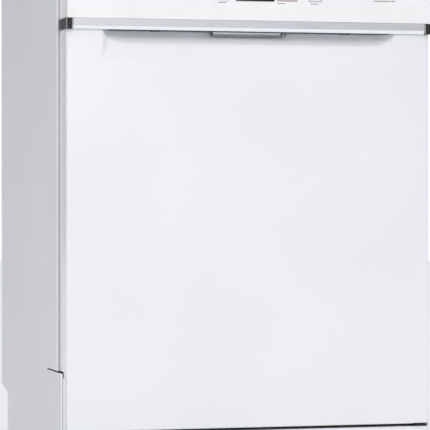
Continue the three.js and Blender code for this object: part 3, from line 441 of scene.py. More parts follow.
def start_geometry_tree(name, inputs):
    tree = bpy.data.node_groups.new(name, "GeometryNodeTree")
    tree.interface.new_socket("Geometry", in_out="INPUT", socket_type="NodeSocketGeometry")
    tree.interface.new_socket("Geometry", in_out="OUTPUT", socket_type="NodeSocketGeometry")
    for label, kind in inputs:
        tree.interface.new_socket(label, in_out="INPUT", socket_type=kind)
    return tree, add_node(tree, "NodeGroupInput").outputs


def end_geometry_tree(tree, instances, material):
    real = add_node(tree, "GeometryNodeRealizeInstances", {"Geometry": instances})
    coat = {"Geometry": real.outputs["Geometry"], "Material": material}
    coated = add_node(tree, "GeometryNodeSetMaterial", coat)
    output = add_node(tree, "NodeGroupOutput")
    tree.links.new(coated.outputs["Geometry"], output.inputs["Geometry"])


def make_wire_tree():
    """Bends the edges of a mesh into round wire and repeats it in a line."""
    tree, given = start_geometry_tree("repeated_wire", (
        ("Wire radius", "NodeSocketFloat"), ("Bend radius", "NodeSocketFloat"), ("Count", "NodeSocketInt"),
        ("Step", "NodeSocketVector"), ("Material", "NodeSocketMaterial")))
    line = add_node(tree, "GeometryNodeMeshToCurve", {"Mesh": given["Geometry"]})
    bent = add_node(tree, "GeometryNodeFilletCurve", {
        "Curve": line.outputs["Curve"], "Radius": given["Bend radius"], "Count": 3, "Limit Radius": True,
    }, mode="POLY")
    ring = {"Resolution": 7, "Radius": given["Wire radius"]}
    section = add_node(tree, "GeometryNodeCurvePrimitiveCircle", ring)
    wire = add_node(tree, "GeometryNodeCurveToMesh", {
        "Curve": bent.outputs["Curve"], "Profile Curve": section.outputs["Curve"], "Fill Caps": True})
    places = add_node(tree, "GeometryNodeMeshLine", {"Count": given["Count"], "Offset": given["Step"]})
    copies = add_node(tree, "GeometryNodeInstanceOnPoints", {
        "Points": places.outputs["Mesh"], "Instance": wire.outputs["Mesh"]})
    end_geometry_tree(tree, copies.outputs["Instances"], given["Material"])
    return tree


def make_row_tree():
    """Repeats a small solid in a line."""
    tree, given = start_geometry_tree("row_of_pieces", (
        ("Count", "NodeSocketInt"), ("Step", "NodeSocketVector"), ("Material", "NodeSocketMaterial")))
    places = add_node(tree, "GeometryNodeMeshLine", {"Count": given["Count"], "Offset": given["Step"]})
    copies = add_node(tree, "GeometryNodeInstanceOnPoints", {
        "Points": places.outputs["Mesh"], "Instance": given["Geometry"]})
    end_geometry_tree(tree, copies.outputs["Instances"], given["Material"])
    return tree


WIRE_TREE = make_wire_tree()
ROW_TREE = make_row_tree()


def grown(mesh, tree, **values):
    """The mesh that a Geometry Nodes tree makes of a mesh, with the tree's named inputs set."""
    carrier = bpy.data.objects.new("carrier", mesh)
    bpy.context.scene.collection.objects.link(carrier)
    modifier = carrier.modifiers.new("nodes", "NODES")
    modifier.node_group = tree
    for item in tree.interface.items_tree:
        if item.in_out == "INPUT" and item.name in values:
            modifier[item.identifier] = values[item.name]
    depsgraph = bpy.context.evaluated_depsgraph_get()
    result = bpy.data.meshes.new_from_object(carrier.evaluated_get(depsgraph), depsgraph=depsgraph)
    bpy.data.objects.remove(carrier)
    return result


def wires(path, radius, material, count=1, step=(0, 0, 0), bend=6.0, closed=False):
    """Round wire along a path of points, bent at its corners and repeated count times."""
    bm = bmesh.new()
    points = [bm.verts.new(p) for p in path]
    for pair in zip(points, points[1:] + (points[:1] if closed else [])):
        bm.edges.new(pair)
    values = {"Wire radius": radius, "Bend radius": bend, "Count": count, "Step": step, "Material": material}
    return grown(mesh_of(bm), WIRE_TREE, **values)


def row(mesh, material, count, step):
    return grown(mesh, ROW_TREE, **{"Count": count, "Step": step, "Material": material})


def screw_rows(profile, rows):
    """Zinc-plated screw heads on a sheet's rear side, in rows of a first place, a count and a step."""
    head = turned(profile, "Y", steps=16)
    head.transform(Matrix.Scale(-1, 4, (0, 1, 0)))
    head.flip_normals()
    made = []
    for first, count, step in rows:
        one = head.copy()
        one.transform(Matrix.Translation(first))
        made.append(row(one, ZINC, count, step))
    return joined(made)


# ---- Planes and sizes that several pieces share -----------------------------------------------


def span(node):
    """Lowest and highest corner of a CAD node in millimetres."""
    return [[c / MM for c in corner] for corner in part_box(node)]


def middle(node):
    low, high = span(node)
    return [(low[i] + high[i]) / 2 for i in range(3)]


DOOR_LOW, DOOR_HIGH = span("door_outer_panel")
LINER_LOW, LINER_HIGH = span("door_inner_liner")
PANEL_LOW, PANEL_HIGH = span("control_panel")
TRIM_LOW, TRIM_HIGH = span("trim_strip")
LEVER_LOW, LEVER_HIGH = span("latch_lever")
FOOT_STEP_Z = 166  # above this the door and its liner have their full depth and width
DOOR_FOOT_DEPTH = 23.5
LIP_HEIGHT = 5.6  # of the trim's bevelled lower lip
BUFFER_X = 155  # a rubber buffer under the trim, to each side of the middle
SCOOP_X = 238
SCOOP_HEIGHT = 48
SCOOP_DEPTH = 28
GENTLE_DEPTH = 9  # of the scoop's slope, before the hollow under the trim
HOLLOW_HEIGHT = 21
HOLLOW_END = 46  # the hollow closes in an arc over this length at each end
SCOOP_END_SLOPE = 0.7  # how steeply the scoop's ends rise out of it
SLOPE_EASE = 1.15
HOLLOW_EASE = 1.2
CORNER_SOFTNESS = 0.3  # share of the depth over which the slope blends into the scoop's ends
HINGE_GAP_X = 270  # beyond this the door's lower edge makes room for the hinges


def ramp(t):
    t = min(max(t, 0), 1)
    return t * t * (3 - 2 * t)


def steps(start, end, count):
    return [start + (end - start) * i / count for i in range(count + 1)]


def fold_path(end, radius, depth, sign, arc_steps=4):
    """(place, depth behind the face) along a folded edge, from the back of its return to the face."""
    path = [(end, depth)]
    for i in range(arc_steps + 1):
        angle = math.pi / 2 * i / arc_steps
        path.append((end - sign * radius * (1 - math.cos(angle)), radius * (1 - math.sin(angle))))
    return path


def pan(xs, zs, reach, depth, z_ends, front, facing, relief_at, fold, corner, top_depth):
    """A sheet-metal pan: a face with relief, folded edges and rounded corners.

    xs and zs are the face's own lines.
    """
    widest = max(reach(z) for z in z_ends)
    left = fold_path(-widest, fold, depth(z_ends[1]), -1)
    low = fold_path(z_ends[0], fold, depth(z_ends[0]), -1)
    high = fold_path(z_ends[1], fold, top_depth, 1)[::-1] if top_depth else [(z_ends[1], 0)]
    across = left + [(x, 0) for x in xs] + [(-x, t) for x, t in reversed(left)]
    up = low + [(z, 0) for z in zs] + high

    def place(u, v):
        (x, side_depth), (z, end_depth) = u, v
        half = reach(z)
        inset = min(widest - abs(x), fold) if widest - abs(x) < fold else max(fold, half - abs(x))
        inset = min(inset, half)
        x = math.copysign(half - inset, x)
        behind = max(min(side_depth, depth(z)), end_depth)
        for centre_z, beyond in ((z_ends[0] + corner, -1), (z_ends[1] - corner, 1)):
            a, b = abs(x) - (half - corner), (z - centre_z) * beyond
            if a > 0 and b > 0 and (beyond < 0 or top_depth):
                a, b = a * math.sqrt(1 - b * b / corner**2 / 2), b * math.sqrt(1 - a * a / corner**2 / 2)
                x = math.copysign(half - corner + a, x)
                z = centre_z + beyond * b
        sunk = relief_at(x, z) if behind == 0 else 0
        return x, front + facing * (behind + sunk), z

    bm = grid_sheet(across, up, place)
    bmesh.ops.remove_doubles(bm, verts=bm.verts, dist=0.02)
    bmesh.ops.dissolve_degenerate(bm, dist=0.01, edges=bm.edges)
    return bm


def drop_faces(bm, inside):
    """Takes away the faces whose centre meets a test."""
    gone = [face for face in bm.faces if inside(face.calc_center_median())]
    bmesh.ops.delete(bm, geom=gone, context="FACES")


def thickened(bm, thickness, outward_axis_y):
    """The sheet as a closed skin that grows away from the side it faces."""
    bmesh.ops.recalc_face_normals(bm, faces=bm.faces)
    facing = sum(face.normal.y * face.calc_area() for face in bm.faces)
    if facing * outward_axis_y < 0:
        bmesh.ops.reverse_faces(bm, faces=bm.faces)
    return settled(mesh_of(bm), ("SOLIDIFY", {"thickness": thickness, "offset": -1}))


# ---- Door -------------------------------------------------------------------------------------


def scoop_depth(x, z):
    """How far the finger scoop lies behind the face: a gentle slope, and a deep hollow under the trim."""
    below_trim = DOOR_HIGH[2] - z
    from_end = SCOOP_X - abs(x)
    if below_trim >= SCOOP_HEIGHT or from_end <= 0:
        return 0
    slope = GENTLE_DEPTH * (1 - below_trim / SCOOP_HEIGHT) ** SLOPE_EASE
    end = from_end * SCOOP_END_SLOPE
    softness = CORNER_SOFTNESS * min(slope, end)
    blend = max(softness - abs(slope - end), 0) / softness
    depth = min(slope, end) - softness * blend * blend / 4
    arc = 1 - min(from_end / HOLLOW_END, 1)
    hollow_height = HOLLOW_HEIGHT * math.sqrt(1 - arc * arc)
    if below_trim < hollow_height:
        ease = (1 - below_trim / hollow_height) ** HOLLOW_EASE
        depth += (SCOOP_DEPTH - GENTLE_DEPTH) * ease * hollow_height / HOLLOW_HEIGHT
    return depth


def make_door():
    half = DOOR_HIGH[0]
    side_lines = [280, HINGE_GAP_X, 262, 246] + steps(SCOOP_X + 1, SCOOP_X - 47, 32)
    xs = sorted(side_lines + [-x for x in side_lines] + steps(-180, 180, 12))
    scoop_foot = DOOR_HIGH[2] - SCOOP_HEIGHT
    last_line = 697.4  # just under the trim
    zs = steps(96, FOOT_STEP_Z - 0.1, 3) + steps(FOOT_STEP_Z + 0.1, scoop_foot - 4, 12)
    zs += steps(scoop_foot, last_line, 26)
    skin = pan(
        xs, zs, lambda z: half, lambda z: DOOR_FOOT_DEPTH if z < FOOT_STEP_Z else DOOR_HIGH[1] - DOOR_LOW[1],
        (DOOR_LOW[2], DOOR_HIGH[2]), DOOR_LOW[1], 1, scoop_depth, 3.2, 5, 0)
    drop_faces(skin, lambda c: c.z < DOOR_LOW[2] + 1 and c.y > DOOR_LOW[1] + 3 and abs(c.x) > HINGE_GAP_X)
    # Over each hinge bracket the rounded lower edge stops short, so that it clears the bracket
    # when the door is down.
    drop_faces(skin, lambda c: c.z < DOOR_LOW[2] + 3.2 and c.y > DOOR_LOW[1] + 0.9
               and HINGE_GAP_X < abs(c.x) < half - 6)
    sheet = thickened(skin, 1.2, -1)
    finish_object("door_skin", sheet, ENAMEL, "door", ("door_outer_panel",))


def liner_relief(x, z):
    """Pressed well of the inner door, shallow, with soft sides and two stiffening ledges."""
    inside = min(ramp((244 - abs(x)) / 16), ramp((z - 150) / 16), ramp((735 - z) / 16))
    ledges = max(ramp(1 - abs(z - 640) / 14), ramp(1 - abs(z - 215) / 14)) * ramp((205 - abs(x)) / 20)
    return 6 * inside - 3.5 * ledges * inside


def make_liner():
    body_low, body_high = span("dispenser_body")
    slot = (12.5, 786, 808)
    half, foot_half = LINER_HIGH[0], 274
    edge_lines = steps(250, 226, 8) + [215, 205, 195, 185]
    xs = sorted([-x for x in edge_lines] + edge_lines + steps(-160, 160, 8)
                + [body_low[0] - 0.8, body_high[0] + 0.8, -slot[0], slot[0]])
    zs = steps(124, 146, 2) + steps(150, 162, 3) + [FOOT_STEP_Z - 0.1, FOOT_STEP_Z + 0.1, 186]
    zs += steps(198, 232, 8) + steps(250, body_low[2] - 0.8, 4) + steps(body_high[2] + 0.8, 610, 8)
    zs += steps(622, 658, 8) + steps(670, 712, 3) + steps(717, 737, 5) + [760, slot[1], slot[2]]
    sheet = pan(
        xs, zs, lambda z: foot_half if z < FOOT_STEP_Z else half, lambda z: 26,
        (LINER_LOW[2], LINER_HIGH[2] - 0.2), LINER_HIGH[1], -1, liner_relief, 4, 8, 26)
    drop_faces(sheet, lambda c: body_low[0] - 1 < c.x < body_high[0] + 1
               and body_low[2] - 1 < c.z < body_high[2] + 1)
    drop_faces(sheet, lambda c: abs(c.x) < slot[0] and slot[1] < c.z < slot[2])
    liner = thickened(sheet, 0.8, 1)
    finish_object("inner_door", liner, STAINLESS, "door", ("door_inner_liner",))
    columns = [((side * 284, LINER_HIGH[1], 210), 5, (0, 0, 138)) for side in (-1, 1)]
    heads = screw_rows([(0, 0), (3.6, 0), (3.4, 1.0), (2.2, 1.7), (0, 1.9)], columns)
    finish_object("inner_door_screws", heads, ZINC, "door")


def make_trim():
    """Satin strip with a bevelled lip in a brighter copy of its aluminium that paints the lip's highlight,
    between two dark end caps with painted highlight strips on their front corners and a black front face that
    paints their dark reflection.
    """
    (x0, front, bottom), (x1, back, top) = TRIM_LOW, TRIM_HIGH
    lip_top = bottom + LIP_HEIGHT
    outline = [(front, lip_top), (back, bottom + 1), (back, top), (front, top)]
    face = prism(outline, "X", x0, x1, 0.35)
    # The lip is the same aluminium as the face, drawn in the brighter copy: painted highlight.
    outline = [(front, lip_top - 0.05), (front + 3.4, bottom), (back, bottom), (back, bottom + 0.95)]
    lip = prism(outline, "X", x0, x1, 0.3)
    finish_object("trim_strip_face", face, TRIM_METAL, "door", ("trim_strip",))
    finish_object("trim_strip_lip", lip, PAINTED_HIGHLIGHT_METAL, "door")
    # A thin dark rubber strip under the trim, across the scoop: painted shadow line where the trim meets the
    # hollow. The two thicker blocks at the buffer places are given as rubber buffers.
    shade_line_front = front + 9.5
    shade_line_back = shade_line_front + 4
    seal = [block((8 - SCOOP_X, shade_line_front, bottom - 1.1), (SCOOP_X - 8, shade_line_back, bottom), 0.3, 2)]
    for x in (-BUFFER_X, BUFFER_X):
        seal.append(block((x - 9, shade_line_front - 0.4, bottom - 2.2), (x + 9, shade_line_back, bottom), 0.8))
    finish_object("trim_strip_shade_line_and_buffers", joined(seal), RUBBER, "door")
    for label, _ in SIDES:
        node = f"trim_cap_{label}"
        ease_piece(node, 1.0, CAP_PLASTIC, "door")
        low, high = span(node)
        front, z0, z1 = low[1], low[2], high[2]
        # A black face on the cap's front, darker than its graphite plastic: painted dark reflection.
        face = block((low[0] + 1.4, front - 0.3, z0 + 0.6), (high[0] - 1.6, front + 1, z1 - 0.6), 0.25, 2)
        finish_object(f"{node}_face", face, DARK_PLASTIC, "door")
        # Bright metal strips down the cap's front corners: painted highlight of their rounded edges.
        edges = []
        for x in (low[0] + 0.5, high[0] - 1.5):
            edges.append(block((x, front - 0.35, z0 + 0.8), (x + 0.9, front + 0.8, z1 - 0.8), 0.25, 2))
        finish_object(f"{node}_edges", joined(edges), PAINTED_HIGHLIGHT_METAL, "door")


def ink_bar(x0, x1, z, height):
    """A printed bar on the control panel, a twentieth of a millimetre proud."""
    front = PANEL_LOW[1]
    return block((x0, front - 0.05, z - height / 2), (x1, front + 0.3, z + height / 2), 0.02, 1)


def ink_ring(low, high, front, margin, radius, line):
    """A printed outline with rounded corners round a box on the control panel."""
    x0, x1, z0, z1 = low[0] - margin, high[0] + margin, low[2] - margin, high[2] + margin
    outer = rounded_outline(x0, x1, z0, z1, radius)
    inner = rounded_outline(x0 + line, x1 - line, z0 + line, z1 - line, radius - line)
    bm = bmesh.new()
    rings = [[bm.verts.new((u, y, v)) for u, v in points] for points, y in
             ((outer, front + 0.3), (outer, front - 0.05), (inner, front - 0.05), (inner, front + 0.3))]
    for a, b in zip(rings, rings[1:] + rings[:1]):
        for i in range(len(a)):
            j = (i + 1) % len(a)
            bm.faces.new((a[i], a[j], b[j], b[i]))
    bmesh.ops.recalc_face_normals(bm, faces=bm.faces)
    return mesh_of(bm)


def make_keys():
    finishes = {
        "power_button": (KEY_PLASTIC, "white_plastic"),
        "programme_button": (KEY_PLASTIC, "white_plastic"),
        "option_button": (WARM_KEY_PLASTIC, "pink_grey_plastic"),
        "start_button": (KEY_PLASTIC, "white_plastic"),
    }
    for node, (material, slot) in finishes.items():
        low, high = span(node)
        outline = rounded_outline(low[0], high[0], low[2], high[2], 2.6)
        key = prism(outline, "Y", low[1] - 0.5, high[1], 0.7, 3)
        finish_object(f"{node}_key", key, material, node, (node,))
        lamp = turned([(0, 0.6), (0.9, 0.6), (1.1, 0.2), (1.1, -1), (0, -1)], "Y", steps=16)
        lamp.transform(Matrix.Translation(((low[0] + high[0]) / 2, low[1] - 0.3, high[2] - 3)))
        finish_object(f"{node}_lamp", lamp, GREY_PLASTIC, node)
    low, high = span("start_button")
    ring = ink_ring(low, high, low[1] - 0.5, -0.7, 2.2, 0.7)
    finish_object("start_button_outline", ring, INK, "start_button")


def make_panel():
    ease_piece("control_panel", 0.8, PANEL_PLASTIC, "door")
    front = PANEL_LOW[1]
    window = span("display_window")
    glass = block([c + 0.1 for c in window[0]], [c - 0.1 for c in window[1]], 0.5)
    finish_object("display_glass_pane", glass, GLASS, "door", ("display_window",))
    label_z = span("start_button")[0][2] - 3.8
    marks = [ink_bar(x, x + width, label_z, 1.2) for x, width in ((-56, 14.5), (40.5, 13.5), (95.5, 12.5))]
    marks.append(ink_bar(-212, -198, label_z + 1.8, 1.2))
    marks.append(ink_ring(*window, front, 1.2, 2, 0.4))
    marks.append(row(ink_bar(201, 203.3, label_z + 6.6, 2.2), INK, 11, (3.3, 0, 0)))
    finish_object("panel_printing", joined(marks), INK, "door")
    segment = block((0, 0, 0), (0.9, 0.15, 3.2), 0.05, 1)
    segment.transform(Matrix.Translation((window[0][0] + 6, window[0][1], window[0][2] + 15)))
    segments = row(segment, GREY_PLASTIC, 14, (3.6, 0, 0))
    finish_object("display_segments", segments, GREY_PLASTIC, "door")


def make_lever():
    """Light lip that the fingers pull, on a rocker in darker grey plastic that paints the shade of the hollow
    under the trim, with a dark stop at each end.
    """
    (x0, front, bottom), (x1, back, top) = LEVER_LOW, LEVER_HIGH
    lip = prism(rounded_outline(x0 + 1.2, x1 - 9, top - 2.2, top, 0.9), "Y", front - 0.6, front + 3, 0.5, 3)
    finish_object("latch_lever_lip", lip, LEVER_PLASTIC, "latch_lever", ("latch_lever",))
    # The rocker is part of the same lever, drawn in darker grey than the lip: painted shade, so that it sits
    # in the hollow's shaded band.
    rocker = prism(rounded_outline(x0 + 1.8, x1 - 9.6, bottom, top - 1, 1.2), "Y", front + 2.6, back, 0.6, 2)
    finish_object("latch_lever_rocker", rocker, GREY_PLASTIC, "latch_lever")
    stops = [block((x0, front + 0.2, top - 4), (x0 + 1.6, back, top - 0.2), 0.4, 2),
             block((x1 - 8.4, front + 0.2, top - 3.6), (x1 - 6.6, back, top - 0.2), 0.4, 2),
             block((x1 - 1.2, front + 0.2, top - 3.6), (x1, back, top - 0.2), 0.4, 2)]
    finish_object("latch_lever_stops", joined(stops), DARK_PLASTIC, "latch_lever")
    tab = block((x1 - 6.4, front, top - 3), (x1 - 1.4, back, top - 0.3), 0.6, 2)
    finish_object("latch_lever_tab", tab, GREY_PLASTIC, "latch_lever")


def make_dispenser():
    ease_piece("dispenser_body", 1.0, GREY_PLASTIC, "door")
    lid_low, lid_high = span("dispenser_lid")
    outline = rounded_outline(lid_low[0], lid_high[0], lid_low[2], lid_high[2], 6)
    lid = prism(outline, "Y", lid_low[1], lid_high[1], 0.9, 3)
    x, face, z = lid_low[0], lid_high[1], lid_low[2]
    grip = block((x + 22, face - 0.5, z + 10), (x + 24, face + 1.4, z + 30), 0.6)
    lid_parts = joined([lid, row(grip, CLEAR_WHITE_PLASTIC, 9, (4, 0, 0))])
    finish_object("dispenser_slide_lid", lid_parts, CLEAR_WHITE_PLASTIC, "dispenser_lid",
                  ("dispenser_lid",))
    cap_low, cap_high = span("rinse_cap")
    x, _, z = middle("rinse_cap")
    radius = (cap_high[0] - cap_low[0]) / 2
    face = cap_high[1]
    disc = turned([(0, -cap_low[1]), (radius, -cap_low[1]), (radius, -face + 0.8), (radius - 0.8, -face),
                   (radius - 5, -face), (radius - 6, -face + 0.8), (0, -face + 0.8)], "Y")
    disc.transform(Matrix.Translation((x, 0, z)))
    bar = block((x - radius + 7, face - 1.2, z - 2.6), (x + radius - 7, face + 2, z + 2.6), 1)
    cap = joined([disc, bar])
    finish_object("rinse_aid_cap", cap, BLUE_PLASTIC, "rinse_cap", ("rinse_cap",))


def make_hinges():
    for label, _ in SIDES:
        ease_piece(f"hinge_arm_{label}", 0.5, ZINC, "door")
        ease_piece(f"hinge_bracket_{label}", 0.5, ZINC, "cabinet")
        node = f"door_spring_{label}"
        low, high = span(node)
        x, _, z = middle(node)
        radius, turns, per_turn = (high[0] - low[0]) / 2 - 1.1, 30, 14
        hook = 12
        coil = [(x, low[1] + 1, z), (x, low[1] + hook - 2, z)]
        for i in range(turns * per_turn + 1):
            angle = math.tau * i / per_turn
            y = low[1] + hook + (high[1] - low[1] - 2 * hook) * i / (turns * per_turn)
            coil.append((x + radius * math.cos(angle), y, z + radius * math.sin(angle)))
        coil += [(x, high[1] - hook + 2, z), (x, high[1] - 1, z)]
        mesh = wires(coil, 1.1, ZINC, bend=0.3)
        finish_object(f"door_spring_coil_{label}", mesh, ZINC, "cabinet", (node,))


# ---- Cabinet ----------------------------------------------------------------------------------


SKIRT_TOP = 163  # foot of the side panel, below its slit
SLIT_END = -131.5  # how far back the slit reaches
HEM_RADIUS = 1.5


def front_corner(y, z, radius):
    """(y, z) points round an upper front corner, from the front edge to the top edge."""
    angles = [math.pi - math.pi / 2 * i / 6 for i in range(7)]
    return [(y + radius * math.cos(angle), z + radius * math.sin(angle)) for angle in angles]


def make_side_panels():
    """Coated side sheets with a rolled hem round the skirt and down the front fold; the hem is drawn in the
    door's whiter enamel, a painted highlight along the folds.
    """
    for label, side in SIDES:
        node = f"side_panel_{label}"
        low, high = span(node)
        ease_piece(node, 0.35, SIDE_STEEL, "cabinet")
        x = (high[0] if side > 0 else low[0]) + side * 0.2
        front, top, bend = low[1] + HEM_RADIUS, SKIRT_TOP - HEM_RADIUS, 7.2
        corner = front_corner(front + bend, top - bend, bend)
        path = [(x, SLIT_END, top)] + [(x, y, z) for y, z in reversed(corner)] + [(x, front, low[2] + 1)]
        upper = [v.co.y / MM for v in frame["nodes"][node].data.vertices if v.co.z / MM > SKIRT_TOP + 10]
        fold_y = min(upper) - 0.5
        fold = [(x, fold_y, SKIRT_TOP + 3), (x, fold_y, high[2] - 1)]
        # The hem is a real rounded bead of the side sheet, drawn in the whiter, glossier door enamel: painted
        # highlight along the fold edges.
        hem = joined([wires(path, HEM_RADIUS, ENAMEL, bend=0.2), wires(fold, HEM_RADIUS, ENAMEL, bend=0.2)])
        finish_object(f"{node}_hem", hem, ENAMEL, "cabinet")
        sheet = sorted((x - side * 1.3, x - side * 2))
        backing = block((sheet[0], front + 0.5, SKIRT_TOP - 14), (sheet[1], min(upper), SKIRT_TOP), 0.2, 1)
        finish_object(f"{node}_backing", backing, SIDE_STEEL, "cabinet")


def make_cabinet():
    make_side_panels()
    make_plinth()
    make_rear()
    ease_piece("top_front_rail", 0.4, ZINC, "cabinet")
    ease_piece("base_tray", 1.2, GREY_PLASTIC, "cabinet")
    tray_low, tray_high = span("base_tray")
    x, front, floor = tray_low
    rib = block((x + 90, front + 12, floor - 1.6), (x + 92.5, tray_high[1] - 12, floor + 1), 0.5)
    ribs = row(rib, GREY_PLASTIC, 17, (25.5, 0, 0))
    finish_object("base_tray_ribs", ribs, GREY_PLASTIC, "cabinet")
    make_tabs()
    make_hoses()
    make_feet()


BOARD_TOP = 70  # of the plinth's board, between its two wings
WING_INSET = 1.2  # leaves the hem of the skirt in sight
WING_CORNER = 8


def make_plinth():
    """Board across the front, with a wing at each end that carries a rolled bead."""
    low, high = span("plinth")
    board = block(low, (high[0], low[1] + 6, BOARD_TOP), 2.0, 4)
    flange_back = span("base_tray")[0][1] - 0.4
    flange = block((low[0] + 2, low[1] + 2, BOARD_TOP - 3), (high[0] - 2, flange_back, BOARD_TOP), 0.6)
    wing_back = span("side_panel_left")[0][1] - 0.4
    corner_y, corner_z = low[1] + WING_CORNER, high[2] - WING_CORNER
    outline = [(low[1], low[2] + 2), (wing_back, low[2] + 2), (wing_back, high[2])]
    outline += front_corner(corner_y, corner_z, WING_CORNER)[::-1]
    bead_line = front_corner(corner_y, corner_z, WING_CORNER - 0.8)[:-1]
    bead_line = [(low[1] + 0.8, BOARD_TOP + 1), *bead_line, (wing_back - 1, high[2] - 0.8)]
    wings = []
    for side in (-1, 1):
        edge = (high[0] if side > 0 else low[0]) - side * WING_INSET
        start, end = sorted((edge, edge - side * 1.4))
        wings.append(prism(outline, "X", start, end, 0.35))
        bead = [(edge - side * 0.4, y, z) for y, z in bead_line]
        wings.append(wires(bead, 0.9, ENAMEL, bend=0.2))
    plinth = joined([board, flange, *wings])
    finish_object("plinth_board", plinth, ENAMEL, "cabinet", ("plinth",))


def rear_relief(x, z):
    """Two pressed fields with a band between them stiffen the rear sheet."""
    fields = [(-265, 265, 145, 440), (-265, 265, 480, 790)]
    raised = 0
    for x0, x1, z0, z1 in fields:
        sides = [ramp(inside / 10) for inside in (x - x0, x1 - x, z - z0, z1 - z)]
        raised = max(raised, min(sides))
    return 2.6 * raised


def make_rear():
    low, high = span("rear_panel")
    edge = [265, 260, 255, 250]
    xs = [low[0], high[0], low[0] + 15, high[0] - 15] + edge + [-x for x in edge] + steps(-200, 200, 8)
    zs = [low[2], high[2], 130] + steps(145, 155, 3) + steps(180, 410, 5) + steps(430, 440, 3)
    zs += steps(480, 490, 3) + steps(520, 760, 5) + steps(780, 790, 3)
    bm = grid_sheet(sorted(xs), sorted(zs), lambda x, z: (x, high[1] - rear_relief(x, z), z))
    sheet = thickened(bm, 1.0, 1)
    finish_object("rear_sheet", sheet, SIDE_STEEL, "cabinet", ("rear_panel",))
    rows = []
    for z, count in ((high[2] - 14, 5), (low[2] + 12, 5), (460, 3)):
        rows.append(((-280, high[1], z), count, (560 / (count - 1), 0, 0)))
    heads = screw_rows([(0, 0), (4, 0), (3.8, 0.9), (2.4, 1.7), (0, 1.9)], rows)
    finish_object("rear_sheet_screws", heads, ZINC, "cabinet")


def make_tabs():
    """Two perforated tabs on the cross rail, that the worktop is screwed to."""
    high = span("top_front_rail")[1]
    tabs = []
    for x in (-190, 190):
        tab = block((x - 18, high[1] - 1, high[2] - 1), (x + 18, high[1] + 22, high[2] + 0.4), 0.5)
        hole = turned([(0, -8), (3.2, -8), (3.2, 8), (0, 8)], "Z", (x, high[1] + 12, high[2]), 20)
        tabs.append(carved(tab, hole))
    finish_object("worktop_tabs", joined(tabs), ZINC, "cabinet")


def make_hoses():
    """Hose connector at the back, with threads on its two stubs."""
    ease_piece("hose_connector", 1.2, CLEAR_WHITE_PLASTIC, "cabinet")
    thread_y = span("hose_connector")[0][1] + 18
    z = middle("hose_connector")[2]
    rings = []
    for x, radius in ((-186, 9), (-156, 11)):
        core, crest = radius - 1, radius + 1.1
        ring = turned([(core, -1.2), (crest, -0.3), (crest, 0.3), (core, 1.2), (core, -1.2)], "Y")
        ring.transform(Matrix.Translation((x, thread_y, z)))
        rings.append(row(ring, CLEAR_WHITE_PLASTIC, 6, (0, 2.7, 0)))
    finish_object("hose_threads", joined(rings), CLEAR_WHITE_PLASTIC, "cabinet")


def make_feet():
    for label, _ in SIDES:
        for end in ("front", "rear"):
            node = f"foot_{end}_{label}"
            x, y, _ = middle(node)
            top = span(node)[1][2]
            pad = turned([(0, 0), (19.2, 0), (20, 0.8), (20, 4.6), (18.6, 6.4), (15, 8), (9, 8.6), (0, 8.6)])
            angles = [math.tau * i / 6 for i in range(6)]
            nut = prism([(10.4 * math.cos(a), 10.4 * math.sin(a)) for a in angles], "Z", 8.2, 13, 0.6)
            thread = [(0, 12)]
            for i in range(6):
                thread += [(5.2, 12.5 + i * 1.85), (6, 13.4 + i * 1.85)]
            thread += [(5.2, top), (0, top)]
            foot = joined([pad, nut, turned(thread)])
            foot.transform(Matrix.Translation((x, y, 0)))
            finish_object(f"{node}_screw_foot", foot, DARK_PLASTIC, node, (node,))


# ---- Tub --------------------------------------------------------------------------------------

TUB_CORNER = 26
TUB_MIDDLE_Z = 400


def tub_path():
    """Points and outward directions of the tub's inner wall, up the left side, over and down the right."""
    low, high = span("tub_side_left")
    reach, floor, ceiling = -high[0], low[2], high[2]
    levels = (floor, 150, FOOT_STEP_Z - 0.1, FOOT_STEP_Z + 0.1, 260, 400, 560, 700)
    points = [((-reach, z), (-1, 0)) for z in levels]
    for i in range(9):
        angle = math.pi - math.pi / 2 * i / 8
        u, v = math.cos(angle), math.sin(angle)
        place = (-reach + TUB_CORNER + TUB_CORNER * u, ceiling - TUB_CORNER + TUB_CORNER * v)
        points.append((place, (u, v)))
    return points + [((-x, z), (-u, v)) for (x, z), (u, v) in reversed(points)]


def make_tub():
    front = span("tub_side_left")[0][1]
    back = span("tub_back")[0][1]

    def place(point, station):
        (x, z), (out_x, out_z) = point
        y, fold = station
        fold = fold if z > FOOT_STEP_Z else 0
        return x + out_x * fold, y, z + out_z * fold

    stations = [(front, 15), (front, 8), (front, 2.6), (front + 0.8, 0.7), (front + 2.4, 0)]
    stations += [(y, 0) for y in steps(front + 30, back, 6)]
    bm = grid_sheet(tub_path(), stations, place)
    bmesh.ops.remove_doubles(bm, verts=bm.verts, dist=0.01)
    bmesh.ops.recalc_face_normals(bm, faces=bm.faces)
    # The faces look into the tub, so that the wall's thickness grows away from it.
    outward = 0
    for face in bm.faces:
        centre = face.calc_center_median()
        outward += (face.normal.x * centre.x + face.normal.z * (centre.z - TUB_MIDDLE_Z)) * face.calc_area()
    if outward > 0:
        bmesh.ops.reverse_faces(bm, faces=bm.faces)
    shell = settled(mesh_of(bm), ("SOLIDIFY", {"thickness": 0.8, "offset": -1}))
    walls = ("tub_side_left", "tub_side_right", "tub_top")
    finish_object("tub_wrap", shell, STAINLESS, "cabinet", walls)
    make_tub_back()
    ease_piece("tub_floor", 0.4, STAINLESS_FLAT, "cabinet")
    make_mats()
    make_gasket()


